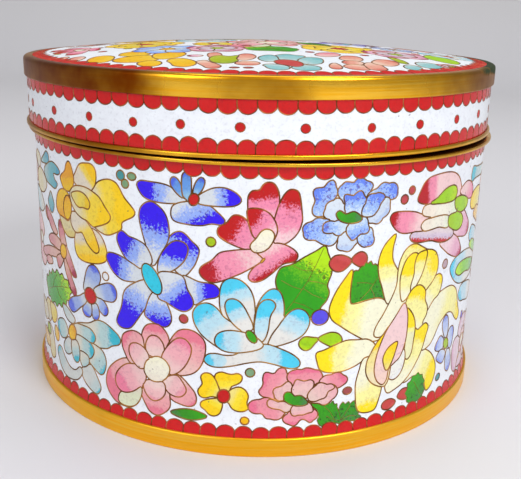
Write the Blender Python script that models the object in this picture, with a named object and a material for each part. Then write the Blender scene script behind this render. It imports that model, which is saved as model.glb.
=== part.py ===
"""Round cloisonne enamel box with a lift-off lid.

The box is a deep copper cup, enamelled inside and out, on a brass foot ring. A brass
mouth rim closes the top of its wall, with a plain neck standing inside it. The lid is
a shallow enamelled copper cap with a low dome: a broad brass band covers its shoulder
and a slim brass rim edges its skirt. The skirt drops over the neck and the lid rests
on the mouth rim, pushed to one side and a little open at the other.

Units are metres, +Z is up, and the origin is the centre of the foot ring's underside.
"""

import math

import bmesh
import bpy
from mathutils import Matrix, Vector

MM = 0.001

# Turning
SIDES = 72  # flats round every turned piece
ARC_STEPS = 2  # straight steps in a rounded corner
SEAM = 0.30 * MM  # gap kept between pieces that are soldered or rest together
MERGE = 0.001 * MM

# Box cup: copper with enamel fused to both faces
CUP_RADIUS = 56.0 * MM
CUP_HEIGHT = 58.5 * MM  # enamelled wall that shows, foot ring to mouth rim
CUP_WALL = 2.2 * MM
CUP_FLOOR = 2.2 * MM
CUP_INNER_CORNER = 1.6 * MM
FLARE_REACH = 0.8 * MM  # the wall spreads to meet the foot ring
FLARE_HEIGHT = 5.5 * MM
FLARE_STEPS = 4

# Foot ring
FOOT_HEIGHT = 3.7 * MM
FOOT_OVERHANG = 1.2 * MM  # beyond the cup's wall
FOOT_WIDTH = 2.6 * MM
FOOT_ROUND = 0.45 * MM

# Mouth rim, with the neck that the lid drops over
MOUTH_HEIGHT = 0.75 * MM
MOUTH_OVERHANG = 1.3 * MM
MOUTH_ROUND = 0.30 * MM
NECK_RISE = 5.5 * MM
NECK_DROP = 4.5 * MM  # how far the neck's sleeve runs down inside the cup
NECK_WALL = 1.0 * MM
NECK_ROUND = 0.35 * MM

# Lid: enamelled copper cap
LID_CLEARANCE = 0.9 * MM  # skirt to neck, all round, when the lid is centred
LID_WALL = 2.2 * MM
SKIRT_HEIGHT = 10.5 * MM  # enamelled skirt that shows, lid rim to shoulder band
DOME_RISE = 3.4 * MM
DOME_THICKNESS = 2.0 * MM
DOME_STEPS = 6
LID_INNER_CORNER = 1.2 * MM

# Lid rim and shoulder band
LID_RIM_HEIGHT = 0.80 * MM
LID_RIM_OVERHANG = 0.65 * MM
LID_RIM_ROUND = 0.35 * MM
BAND_HEIGHT = 4.2 * MM
BAND_OVERHANG = 0.6 * MM
BAND_WIDTH = 1.8 * MM
BAND_ROUND = 0.40 * MM

# How the lid sits: slid towards -X, touching there and open at +X
LID_SLIDE = 0.5 * MM
LID_TILT = math.radians(0.4)

# Heights and radii that follow from the sizes above
CUP_BASE_Z = FOOT_HEIGHT
CUP_TOP_Z = CUP_BASE_Z + CUP_HEIGHT
CUP_INNER_RADIUS = CUP_RADIUS - CUP_WALL
FOOT_RADIUS = CUP_RADIUS + FOOT_OVERHANG
MOUTH_RADIUS = CUP_RADIUS + MOUTH_OVERHANG
MOUTH_TOP_Z = CUP_TOP_Z + MOUTH_HEIGHT
NECK_RADIUS = CUP_INNER_RADIUS - SEAM
LID_INNER_RADIUS = NECK_RADIUS + LID_CLEARANCE
LID_RADIUS = LID_INNER_RADIUS + LID_WALL
LID_RIM_RADIUS = LID_RADIUS + LID_RIM_OVERHANG
BAND_RADIUS = LID_RADIUS + BAND_OVERHANG
BAND_INNER_RADIUS = BAND_RADIUS - BAND_WIDTH
DOME_RADIUS = BAND_INNER_RADIUS - SEAM

# Heights in the lid's own frame, which starts at the underside of its rim
SKIRT_BASE = LID_RIM_HEIGHT
BAND_BASE = SKIRT_BASE + SKIRT_HEIGHT
DOME_BASE = BAND_BASE + BAND_HEIGHT
CEILING_EDGE = DOME_BASE - DOME_THICKNESS  # inside of the cap, where the dome begins

WHITE_ENAMEL = (0.86, 0.88, 0.89)
GILT_BRASS = (0.72, 0.44, 0.12)


def rounded_outline(corners):
    """Points round an outline of (radius, height, rounding) corners."""
    points = []
    count = len(corners)
    for i, (r, z, rounding) in enumerate(corners):
        corner = Vector((r, z))
        if rounding <= 0.0:
            points.append(corner)
            continue
        before = (Vector(corners[i - 1][:2]) - corner).normalized()
        after = (Vector(corners[(i + 1) % count][:2]) - corner).normalized()
        half_angle = before.angle(after) / 2
        reach = rounding / math.tan(half_angle)
        bisector = (before + after).normalized()
        centre = corner + bisector * (rounding / math.sin(half_angle))
        start = corner + before * reach - centre
        end = corner + after * reach - centre
        turn = start.angle_signed(end)
        for step in range(ARC_STEPS + 1):
            # angle_signed is clockwise-positive, so the turn is taken the other way
            points.append(centre + Matrix.Rotation(-turn * step / ARC_STEPS, 2) @ start)
    return points


def turned(name, outline, material, closed=True):
    """One solid of revolution about Z. An open outline starts and ends on the axis."""
    build = bmesh.new()
    ring = [build.verts.new((p.x, 0.0, p.y)) for p in outline]
    edges = [build.edges.new(pair) for pair in zip(ring, ring[1:])]
    if closed:
        edges.append(build.edges.new((ring[-1], ring[0])))
    bmesh.ops.spin(
        build,
        geom=ring + edges,
        cent=(0.0, 0.0, 0.0),
        axis=(0.0, 0.0, 1.0),
        angle=2 * math.pi,
        steps=SIDES,
        use_merge=True,
    )
    bmesh.ops.remove_doubles(build, verts=build.verts, dist=MERGE)
    bmesh.ops.recalc_face_normals(build, faces=build.faces)
    if build.calc_volume(signed=True) < 0:
        bmesh.ops.reverse_faces(build, faces=build.faces)
    mesh = bpy.data.meshes.new(name)
    build.to_mesh(mesh)
    build.free()
    mesh.shade_smooth()
    mesh.set_sharp_from_angle(angle=math.radians(35))
    mesh.materials.append(material)
    piece = bpy.data.objects.new(name, mesh)
    bpy.context.scene.collection.objects.link(piece)
    return piece


def principled(name, colour, metallic, roughness):
    material = bpy.data.materials.new(name)
    material.use_nodes = True
    shader = material.node_tree.nodes["Principled BSDF"]
    shader.inputs["Base Color"].default_value = (*colour, 1.0)
    shader.inputs["Metallic"].default_value = metallic
    shader.inputs["Roughness"].default_value = roughness
    return material


def foot_ring(brass):
    inner = FOOT_RADIUS - FOOT_WIDTH
    outline = rounded_outline([
        (inner, 0.0, 0.0),
        (FOOT_RADIUS, 0.0, FOOT_ROUND),
        (FOOT_RADIUS, FOOT_HEIGHT, FOOT_ROUND),
        (inner, FOOT_HEIGHT, 0.0),
    ])
    return turned("box_foot_ring", outline, brass)


def flare_points():
    """The wall's foot, from its widest edge up to where the wall runs straight."""
    base = CUP_BASE_Z + SEAM
    for step in range(FLARE_STEPS):
        share = step / FLARE_STEPS
        radius = CUP_RADIUS + FLARE_REACH * (1.0 - share) ** 2
        yield Vector((radius, base + FLARE_HEIGHT * share))


def box_cup(enamel):
    base = CUP_BASE_Z + SEAM
    top = CUP_TOP_Z - SEAM
    floor_z = base + CUP_FLOOR
    inner_corners = rounded_outline([
        (CUP_INNER_RADIUS, top, 0.0),
        (CUP_INNER_RADIUS, floor_z, CUP_INNER_CORNER),
        (0.0, floor_z, 0.0),
    ])
    outline = [
        Vector((0.0, base)),
        *flare_points(),
        Vector((CUP_RADIUS, base + FLARE_HEIGHT)),
        Vector((CUP_RADIUS, top)),
        *inner_corners,
    ]
    return turned("box_cup", outline, enamel, closed=False)


def mouth_rim(brass):
    sleeve = NECK_RADIUS - NECK_WALL
    outline = rounded_outline([
        (sleeve, CUP_TOP_Z - NECK_DROP, 0.0),
        (NECK_RADIUS, CUP_TOP_Z - NECK_DROP, 0.0),
        (NECK_RADIUS, CUP_TOP_Z, 0.0),
        (MOUTH_RADIUS, CUP_TOP_Z, MOUTH_ROUND),
        (MOUTH_RADIUS, MOUTH_TOP_Z, MOUTH_ROUND),
        (NECK_RADIUS, MOUTH_TOP_Z, 0.0),
        (NECK_RADIUS, MOUTH_TOP_Z + NECK_RISE, NECK_ROUND),
        (sleeve, MOUTH_TOP_Z + NECK_RISE, NECK_ROUND),
    ])
    return turned("box_mouth_rim", outline, brass)


def dome_points(edge_radius, edge_z, rise):
    """A shallow spherical cap from its centre out to its edge."""
    sphere = (edge_radius ** 2 + rise ** 2) / (2 * rise)
    for step in range(DOME_STEPS + 1):
        radius = edge_radius * step / DOME_STEPS
        drop = sphere - math.sqrt(sphere ** 2 - radius ** 2)
        yield Vector((radius, edge_z + rise - drop))


def lid_cap(enamel):
    skirt_base = SKIRT_BASE + SEAM
    shoulder = BAND_BASE - SEAM
    skirt = rounded_outline([
        (DOME_RADIUS, shoulder, 0.0),
        (LID_RADIUS, shoulder, 0.0),
        (LID_RADIUS, skirt_base, 0.0),
        (LID_INNER_RADIUS, skirt_base, 0.0),
    ])
    ceiling = list(dome_points(LID_INNER_RADIUS - LID_INNER_CORNER, CEILING_EDGE, DOME_RISE))
    outline = [
        *dome_points(DOME_RADIUS, DOME_BASE, DOME_RISE),
        *skirt,
        Vector((LID_INNER_RADIUS, CEILING_EDGE - LID_INNER_CORNER)),
        *reversed(ceiling),
    ]
    return turned("lid_cap", outline, enamel, closed=False)


def shoulder_band(brass):
    outline = rounded_outline([
        (BAND_INNER_RADIUS, BAND_BASE, 0.0),
        (BAND_RADIUS, BAND_BASE, BAND_ROUND),
        (BAND_RADIUS, DOME_BASE, BAND_ROUND),
        (BAND_INNER_RADIUS, DOME_BASE, 0.0),
    ])
    return turned("lid_shoulder_band", outline, brass)


def lid_rim(brass):
    outline = rounded_outline([
        (LID_INNER_RADIUS, 0.0, 0.0),
        (LID_RIM_RADIUS, 0.0, LID_RIM_ROUND),
        (LID_RIM_RADIUS, LID_RIM_HEIGHT, LID_RIM_ROUND),
        (LID_INNER_RADIUS, LID_RIM_HEIGHT, 0.0),
    ])
    return turned("lid_rim", outline, brass)


def seat_lid(pieces):
    """Hangs the lid's pieces on an empty at the point of the rim that touches."""
    seat = bpy.data.objects.new("lid_seat", None)
    bpy.context.scene.collection.objects.link(seat)
    seat.location = (-LID_RIM_RADIUS - LID_SLIDE, 0.0, MOUTH_TOP_Z + SEAM)
    seat.rotation_euler = (0.0, -LID_TILT, 0.0)
    for piece in pieces:
        piece.parent = seat
        piece.location = (LID_RIM_RADIUS, 0.0, 0.0)


def clear_scene():
    for old in list(bpy.data.objects):
        bpy.data.objects.remove(old, do_unlink=True)


def main():
    clear_scene()
    enamel = principled("white_enamel", WHITE_ENAMEL, 0.0, 0.15)
    brass = principled("gilt_brass", GILT_BRASS, 1.0, 0.3)
    foot_ring(brass)
    box_cup(enamel)
    mouth_rim(brass)
    seat_lid([lid_rim(brass), lid_cap(enamel), shoulder_band(brass)])


main()
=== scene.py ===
# %% [markdown]
# # A cloisonne enamel box
# The box is a copper cup and a copper lid. Flat wire is bent into the outlines of flowers,
# stood on edge on the metal and soldered down, each cell is filled with ground glass paste,
# and the whole is fired and polished until wire and glass are level. Brass rings trim the
# foot, the mouth, the lid's rim and its shoulder.
# The CAD solids give every real size. This lesson dresses them: each solid is turned again
# with finer steps, and the drawing is laid out flat in millimetres, cut into cells, and
# wrapped round the wall. Doing it flat keeps the flowers easy to draw and to move.

# %% The frame and the CAD box
import math
from dataclasses import dataclass
from random import Random

import bpy
from mathutils import Matrix, Vector
from mathutils.geometry import delaunay_2d_cdt


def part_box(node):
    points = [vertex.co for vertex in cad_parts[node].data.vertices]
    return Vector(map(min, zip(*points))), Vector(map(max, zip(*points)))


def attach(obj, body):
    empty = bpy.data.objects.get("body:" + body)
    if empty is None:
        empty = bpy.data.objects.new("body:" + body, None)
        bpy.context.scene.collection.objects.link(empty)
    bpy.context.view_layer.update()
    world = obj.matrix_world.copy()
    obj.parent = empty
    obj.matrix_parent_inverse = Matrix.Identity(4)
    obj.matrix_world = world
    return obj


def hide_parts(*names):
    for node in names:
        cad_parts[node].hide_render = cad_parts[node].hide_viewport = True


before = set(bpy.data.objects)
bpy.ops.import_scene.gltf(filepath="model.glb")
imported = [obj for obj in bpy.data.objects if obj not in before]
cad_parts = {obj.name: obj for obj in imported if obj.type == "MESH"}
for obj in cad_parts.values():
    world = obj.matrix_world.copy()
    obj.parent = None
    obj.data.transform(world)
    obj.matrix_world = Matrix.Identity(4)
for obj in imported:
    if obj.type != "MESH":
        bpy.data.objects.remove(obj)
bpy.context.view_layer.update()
print("CAD nodes:", ", ".join(sorted(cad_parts)))

# %% Heights and radii read from the solids, in millimetres
MM = 0.001


def heights(node):
    low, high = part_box(node)
    return low[2] / MM, high[2] / MM


def outer_radius(node):
    low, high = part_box(node)
    return (high[1] - low[1]) / 2 / MM


CUP_LOW, CUP_HIGH = heights("box_cup")
NECK_LOW, NECK_HIGH = heights("box_mouth_rim")
FOOT_RADIUS = outer_radius("box_foot_ring")
MOUTH_RADIUS = outer_radius("box_mouth_rim")
LID_RIM_RADIUS = outer_radius("lid_rim")
BAND_RADIUS = outer_radius("lid_shoulder_band")
print("cup from", round(CUP_LOW, 2), "to", round(CUP_HIGH, 2), "mm high")
RADII = (FOOT_RADIUS, MOUTH_RADIUS, LID_RIM_RADIUS, BAND_RADIUS)
print("rings' radii:", [round(r, 2) for r in RADII])

# %% Sizes inside the outline, as the solids have them
WALL_RADIUS = 56.0
WALL_THICK = 2.2
FLARE_REACH = 0.8
FLARE_HIGH = 5.5
SEAM = 0.3
FOOT_WIDTH = 2.6
MOUTH_HIGH = 62.95
NECK_RADIUS = 53.5
NECK_WALL = 1.0
SKIRT_RADIUS = 56.6
LID_RIM_HIGH = 0.8
SKIRT_HIGH = 11.0
BAND_HIGH = 15.5
DOME_RADIUS = 55.1
DOME_RISE = 3.4
CEILING_DROP = 2.0
LID_SLIDE = 0.5
LID_TILT = math.radians(0.4)
SPHERE = (DOME_RADIUS ** 2 + DOME_RISE ** 2) / (2 * DOME_RISE)
TOUCH = 0.02
TUCK = 0.25  # how far the foot ring laps over the glass
# The glass closes the seams beside the rings.
FACE_LOW, FACE_HIGH = CUP_LOW + TUCK, CUP_HIGH + SEAM - TOUCH
SKIRT_LOW = LID_RIM_HIGH + TOUCH
print("the dome is part of a sphere of radius", round(SPHERE), "mm")

# %% [markdown]
# ## Where the flat drawing goes
# A drawing in flat millimetres is wrapped on the metal in three places: round the cup's
# wall, round the lid's skirt, and over the lid's dome. Each place is one small function
# that takes a point of the drawing and a height above the surface. The lid sits slid to
# one side and a little open, so its two functions go through the lid's seat.

# %% Wrapping functions
seat = (
    Matrix.Translation((-LID_RIM_RADIUS - LID_SLIDE, 0, MOUTH_HIGH + SEAM))
    @ Matrix.Rotation(-LID_TILT, 4, "Y")
    @ Matrix.Translation((LID_RIM_RADIUS, 0, 0))
)


def flare(z):
    """How far the wall spreads at this height to meet the foot ring."""
    share = min(1.0, max(0.0, (z - CUP_LOW) / FLARE_HIGH))
    return FLARE_REACH * (1.0 - share) ** 2


def round_wall(u, z, rise=0.0):
    angle, radius = u / WALL_RADIUS, WALL_RADIUS + flare(z) + rise
    return Vector((radius * math.sin(angle), -radius * math.cos(angle), z)) * MM


def round_skirt(u, z, rise=0.0):
    angle, radius = u / SKIRT_RADIUS, SKIRT_RADIUS + rise
    return (seat @ Vector((radius * math.sin(angle), -radius * math.cos(angle), z))) * MM


def over_dome(x, y, rise=0.0):
    drop = SPHERE - math.sqrt(SPHERE ** 2 - x * x - y * y)
    return (seat @ Vector((x, y, BAND_HIGH + DOME_RISE - drop + rise))) * MM


print("a point at the front of the wall:", [round(v, 4) for v in round_wall(0, 30)])

# %% [markdown]
# ## Glass colours
# Enamel is ground glass, coloured by metals: copper gives turquoise and green, cobalt gives
# blue, gold gives pink, iron gives red, antimony gives yellow. A petal is filled with two
# pastes that meet in the middle, which is why its colour runs from one to the other. The
# colours are written as they look on a screen, from 0 to 255.

# %% Dyes
GLOSS_VEIL = 0.022  # what the polished face adds to every colour by reflecting a pale room


def dye(red, green, blue):
    """A screen colour as the linear numbers that Blender works with, less the veil of gloss."""
    shares = (v / 255 for v in (red, green, blue))
    linear = (v / 12.92 if v <= 0.04 else ((v + 0.055) / 1.055) ** 2.4 for v in shares)
    return tuple(max(0.0, v - GLOSS_VEIL) for v in linear)


print("white enamel in linear light:", [round(v, 3) for v in dye(238, 242, 248)])

# %% Pastes: the dye at a petal's root, in its middle and at its tip
COBALT = (dye(214, 220, 226), dye(150, 176, 243), dye(64, 32, 236))
STEEL_BLUE = (dye(150, 195, 225), dye(105, 155, 225), dye(85, 110, 225))
HARBOUR = (dye(208, 216, 222), dye(160, 180, 230), dye(92, 110, 226))
PERIWINKLE = (dye(208, 218, 236), dye(180, 196, 238), dye(140, 156, 234))
PEONY_BLUE = (dye(206, 224, 240), dye(158, 188, 243), dye(108, 138, 238))
PEARL_BLUE = (dye(215, 225, 235), dye(205, 218, 235), dye(185, 205, 238))
TURQUOISE = (dye(228, 227, 222), dye(186, 222, 235), dye(84, 204, 236))
# The next three pastes are turquoise as it looks on the cup's left, which lies in shade. Their
# greener tone is their own, and their greyer, darker tones are partly painted shade.
SEA_WITH_PAINTED_SHADE = (dye(220, 218, 204), dye(184, 212, 212), dye(70, 188, 208))
PEARL_SEA_WITH_PAINTED_SHADE = (dye(214, 218, 214), dye(196, 212, 212), dye(95, 190, 205))
TEAL_WITH_PAINTED_SHADE = (dye(170, 195, 195), dye(110, 180, 190), dye(80, 165, 195))
CHROME = (dye(228, 218, 182), dye(248, 216, 70), dye(253, 210, 0))
DUSK_YELLOW = (dye(228, 216, 196), dye(246, 214, 84), dye(253, 204, 0))
AMBER_PASTE = (dye(232, 205, 130), dye(242, 195, 80), dye(245, 185, 40))
LEMON = (dye(243, 241, 212), dye(247, 241, 160), dye(252, 226, 0))
LEMON_EDGE = (dye(240, 226, 185), dye(242, 225, 150), dye(252, 215, 20))
BUTTER = (dye(240, 222, 130), dye(247, 222, 60), dye(250, 212, 5))
STRAW = (dye(222, 214, 190), dye(225, 212, 160), dye(225, 205, 130))
STRAW_GOLD = (dye(228, 212, 130), dye(236, 212, 90), dye(240, 200, 50))
STRAW_PALE = (dye(238, 236, 190), dye(244, 240, 150), dye(250, 225, 20))
AMBER = (dye(240, 195, 40), dye(240, 185, 20), dye(235, 165, 10))
CAMELLIA = (dye(236, 194, 188), dye(236, 168, 172), dye(232, 128, 148))
CAMELLIA_HEART = (dye(238, 198, 196), dye(238, 174, 182), dye(236, 132, 160))
BLUSH = (dye(238, 208, 202), dye(238, 188, 190), dye(236, 160, 172))
BLUSH_CREAM = (dye(238, 204, 206), dye(240, 206, 206), dye(240, 208, 196))
PEONY_PINK = (dye(234, 174, 180), dye(234, 148, 162), dye(232, 118, 148))
PEONY_HEART = (dye(228, 198, 190), dye(232, 190, 188), dye(234, 180, 184))
CRIMSON_EDGE = (dye(240, 204, 208), dye(238, 142, 172), dye(192, 34, 32))
PINK_TO_RED = (dye(240, 204, 204), dye(238, 146, 172), dye(184, 44, 50))
DUSK_PINK = (dye(226, 180, 165), dye(215, 140, 145), dye(170, 60, 85))
SALMON = (dye(236, 200, 180), dye(232, 165, 145), dye(220, 125, 110))
MAUVE = (dye(240, 210, 216), dye(232, 176, 200), dye(182, 66, 100))
LILAC = (dye(226, 210, 214), dye(212, 196, 214), dye(198, 60, 60))
CREAM_PASTE = (dye(240, 228, 212), dye(240, 236, 220), dye(225, 238, 210))
GREEN_CREAM = (dye(226, 214, 196), dye(222, 226, 196), dye(225, 232, 200))
GREEN = (dye(66, 168, 36), dye(64, 150, 46), dye(78, 136, 76))
LEAF = (dye(75, 175, 35), dye(130, 205, 10), dye(180, 228, 0))
LIME = (dye(165, 205, 40), dye(160, 210, 10), dye(180, 218, 15))
SPRING_LEAF = (dye(58, 160, 36), dye(105, 185, 20), dye(178, 226, 0))
POND = (dye(190, 212, 212), dye(150, 200, 202), dye(125, 192, 196))
OLIVE = (dye(178, 190, 60), dye(172, 188, 40), dye(150, 175, 60))
FADED_LILAC = (dye(230, 214, 220), dye(226, 200, 214), dye(216, 172, 198))
SUN = (dye(240, 200, 60), dye(242, 192, 20), dye(242, 180, 0))
RED = (dye(202, 80, 76), dye(198, 76, 74), dye(202, 86, 86))
PEARL = (dye(236, 236, 228), dye(238, 238, 230), dye(236, 238, 236))


def one_glass(*screen_colour):
    return (dye(*screen_colour),) * 3


GROUND = one_glass(238, 242, 248)
SCALE_RED = one_glass(204, 42, 42)
RED_GLASS = one_glass(198, 42, 34)
ROSE = one_glass(190, 80, 85)
MAROON = one_glass(165, 85, 85)
MAUVE_GLASS = one_glass(190, 165, 175)
AQUA = one_glass(60, 200, 225)
TEAL_GLASS = one_glass(80, 150, 155)
SAGE = one_glass(130, 165, 125)
GREEN_GLASS = one_glass(70, 165, 45)
LIME_GLASS = one_glass(165, 195, 40)
OCHRE = one_glass(215, 160, 60)
CREAM_GLASS = (dye(244, 240, 212), dye(242, 238, 218), dye(238, 230, 212))
WHITE = one_glass(235, 237, 240)
VIOLET = one_glass(95, 85, 225)
print("cobalt blue in linear light:", [round(v, 3) for v in COBALT[2]])

# %% [markdown]
# ## Cells, flowers and sheets
# A cell is one closed loop of wire and the glass inside it. It is drawn as a smooth curve
# through a few points, because wire bends in smooth curves. A flower is a group of cells
# round a centre, and it can be planted again elsewhere, turned, resized and in other dyes.
# Where two cells overlap, the later one wins, as a front petal hides the one behind it.

# %% A cell
STEP = 0.45  # a curve has a point about every so many millimetres
SNUG = 0.12  # a loop is drawn this much larger, so that neighbours share one wire
WIRE = 0.34
FINE_WIRE = 0.20
VEIN_WIRE = 0.10
FRILL_LONG, FRILL_DEEP = 3.0, 0.4  # one wave of a peony's edge


@dataclass
class Cell:
    outline: list
    paste: tuple
    fade: tuple = (0.1, 0.9)
    grow: float = None
    grain: float = 0.06
    wire: float = WIRE
    root: Vector = None
    tip: Vector = None


print("wires, in mm:", WIRE, FINE_WIRE, VEIN_WIRE)


# %% Curves


def smooth_loop(points):
    """A closed curve through the points that turns evenly at each of them."""
    count, loop = len(points), []
    for k in range(count):
        before, start, end, after = (points[(k + i - 1) % count] for i in range(4))
        span = (end - start).length
        leave = (end - before) * (span / (span + (start - before).length))
        arrive = (after - start) * (span / (span + (after - end).length))
        parts = max(2, round(span / STEP))
        for i in range(parts):
            t = i / parts
            loop.append(
                start * (2 * t ** 3 - 3 * t ** 2 + 1) + leave * (t ** 3 - 2 * t ** 2 + t)
                + end * (3 * t ** 2 - 2 * t ** 3) + arrive * (t ** 3 - t ** 2)
            )
    return loop


def area(loop):
    return sum(a.x * b.y - b.x * a.y for a, b in zip(loop, loop[1:] + loop[:1])) / 2


def pairs(numbers):
    return [Vector(numbers[k:k + 2]) for k in range(0, len(numbers), 2)]


square = smooth_loop(pairs((0, 0, 2, 0, 2, 2, 0, 2)))
print("a curve through a square of 2 mm:", len(square), "points")


# %% Petals, ovals and veins


def petal(paste, *numbers, **extra):
    """A cell through the points x,y, x,y ... Its dye runs outwards from the flower's centre."""
    return Cell(smooth_loop(pairs(numbers)), paste, **extra)


def frilled(paste, *numbers, **extra):
    """A petal whose edge is scalloped, as a peony has."""
    loop = smooth_loop(pairs(numbers))
    middle = sum(loop, Vector((0, 0))) / len(loop)
    around = sum((a - b).length for a, b in zip(loop, loop[1:] + loop[:1]))
    waves = round(around / FRILL_LONG)
    swells = [abs(math.sin(math.pi * waves * k / len(loop))) - 0.6 for k in range(len(loop))]
    loop = [p + (p - middle).normalized() * FRILL_DEEP * swell for p, swell in zip(loop, swells)]
    return Cell(loop, paste, **extra)


def notched(paste, *numbers, **extra):
    """A cell with sharp corners, for the edge of a leaf."""
    corners = pairs(numbers)
    loop = [p for a, b in zip(corners, corners[1:] + corners[:1]) for p in (a, a.lerp(b, 0.5))]
    return Cell(loop, paste, **extra)


def oval(paste, x, y, half_long, half_wide=None, tilt=0.0, **extra):
    """A bean or dot, measured over its wire: half_long lies along x before the tilt, in degrees."""
    half_wide = (half_long if half_wide is None else half_wide) - SNUG
    half_long -= SNUG
    turn = Matrix.Rotation(math.radians(tilt), 2)
    steps = max(10, round(2 * math.pi * max(half_long, half_wide) / STEP))
    angles = [2 * math.pi * k / steps for k in range(steps)]
    loop = [Vector((half_long * math.cos(a), half_wide * math.sin(a))) for a in angles]
    return Cell([Vector((x, y)) + turn @ p for p in loop], paste, **extra)


print("a bead of 1 mm:", len(oval(GROUND, 0, 0, 1).outline), "points")

# %% A flower and how it is planted


@dataclass
class Flower:
    centre: Vector
    cells: list
    veins: list


def flower(x, y, *cells, veins=()):
    centre = Vector((x, y))
    for cell in cells:
        middle = sum(cell.outline, Vector((0, 0))) / len(cell.outline)
        away = middle - centre
        if cell.grow is not None:
            away = Matrix.Rotation(math.radians(cell.grow), 2) @ Vector((1, 0))
        away = away.normalized() if away.length > 0.01 else Vector((0, 1))
        reach = [(p - middle).dot(away) for p in cell.outline]
        low, high = min(reach), max(reach)
        cell.root = middle + away * (low + (high - low) * cell.fade[0])
        cell.tip = middle + away * (low + (high - low) * cell.fade[1])
    return Flower(centre, list(cells), [pairs(v) for v in veins])


def plant(sheet, kind, x=None, y=None, turn=0.0, size=1.0, flip=False, pastes=None):
    """Adds a flower to a sheet, where it was drawn or at x, y."""
    at = kind.centre if x is None else Vector((x, y))
    spin = Matrix.Rotation(math.radians(turn), 2)

    def moved(p):
        arm = (p - kind.centre) * size
        return at + spin @ (Vector((-arm.x, arm.y)) if flip else arm)

    swap = pastes or {}
    for cell in kind.cells:
        sheet.cells.append(Cell(
            [moved(p) for p in cell.outline],
            swap.get(cell.paste, cell.paste), grain=cell.grain, wire=cell.wire,
            root=moved(cell.root), tip=moved(cell.tip),
        ))
    sheet.veins += [[moved(p) for p in vein] for vein in kind.veins]


bead = flower(0, 0, oval(GROUND, 0, 0, 1))
print("a bead's dye runs towards", bead.cells[0].tip.to_tuple(1))


# %% [markdown]
# ## From drawing to glass and wire
# The flat drawing is cut into triangles by Blender's constrained triangulation, which keeps
# every loop as edges and says which loops cover each triangle. The last loop that covers a
# triangle owns it. Where two neighbours have different owners, there is a wire. That one
# rule gives clean joints between petals, however they were drawn.

# %% A sheet of drawing


@dataclass
class Sheet:
    name: str
    place: object
    border: list
    inside: object
    grid: list
    cells: list
    veins: list
    wrap: float = 0.0


AROUND = 360  # points round every enamelled edge, so that it meets its turned neighbour


def strip_sheet(name, place, radius, low, high, across):
    """A sheet that goes once round a wall. Its ends meet at the back."""
    half = math.pi * radius
    ring = [-half + 2 * half * k / AROUND for k in range(AROUND + 1)]
    rows = [low + (high - low) * k / across for k in range(across + 1)]
    border = [Vector((u, low)) for u in ring] + [Vector((half, z)) for z in rows[1:-1]]
    border += [Vector((u, high)) for u in reversed(ring)]
    border += [Vector((-half, z)) for z in reversed(rows[1:-1])]
    grid = [Vector((u, z)) for u in ring[1:-1] for z in rows[1:-1]]

    def inside(p):
        return -half < p.x < half and low < p.y < high

    return Sheet(name, place, border, inside, grid, [], [], 2 * half)


def disc_sheet(name, place, radius, spacing):
    """A round sheet, for the top of the lid."""
    angles = [2 * math.pi * k / AROUND for k in range(AROUND)]
    border = [Vector((radius * math.cos(a), radius * math.sin(a))) for a in angles]
    rings = round(radius / spacing)
    grid = [Vector((0, 0))]
    for k in range(1, rings):
        count = max(6, round(2 * math.pi * k))
        for i in range(count):
            angle = 2 * math.pi * (i + 0.5 * (k % 2)) / count
            grid.append(Vector((math.cos(angle), math.sin(angle))) * (radius * k / rings))
    edge = radius * math.cos(math.pi / AROUND)
    return Sheet(name, place, border, lambda p: p.length < edge, grid, [], [])


WALL_ROWS, SKIRT_ROWS, DOME_STEP = 58, 10, 1.0  # a point about every millimetre
wall = strip_sheet("wall", round_wall, WALL_RADIUS, FACE_LOW, FACE_HIGH, WALL_ROWS)
skirt = strip_sheet("skirt", round_skirt, SKIRT_RADIUS, SKIRT_LOW, SKIRT_HIGH, SKIRT_ROWS)
dome = disc_sheet("dome", over_dome, DOME_RADIUS, DOME_STEP)
print("the wall's drawing is", round(wall.wrap), "mm long")

# %% [markdown]
# ## The flowers at the front
# The front carries a loose scatter of garden flowers, no two alike: cobalt stars, turquoise
# lilies, pink camellias, yellow roses and wavy peonies, with leaves and beads between them.
# Each is drawn at its own place on the wall, x right from the front's middle and y up from
# the table, in millimetres. Its dye runs outwards unless a direction, in degrees, is given.

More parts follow.
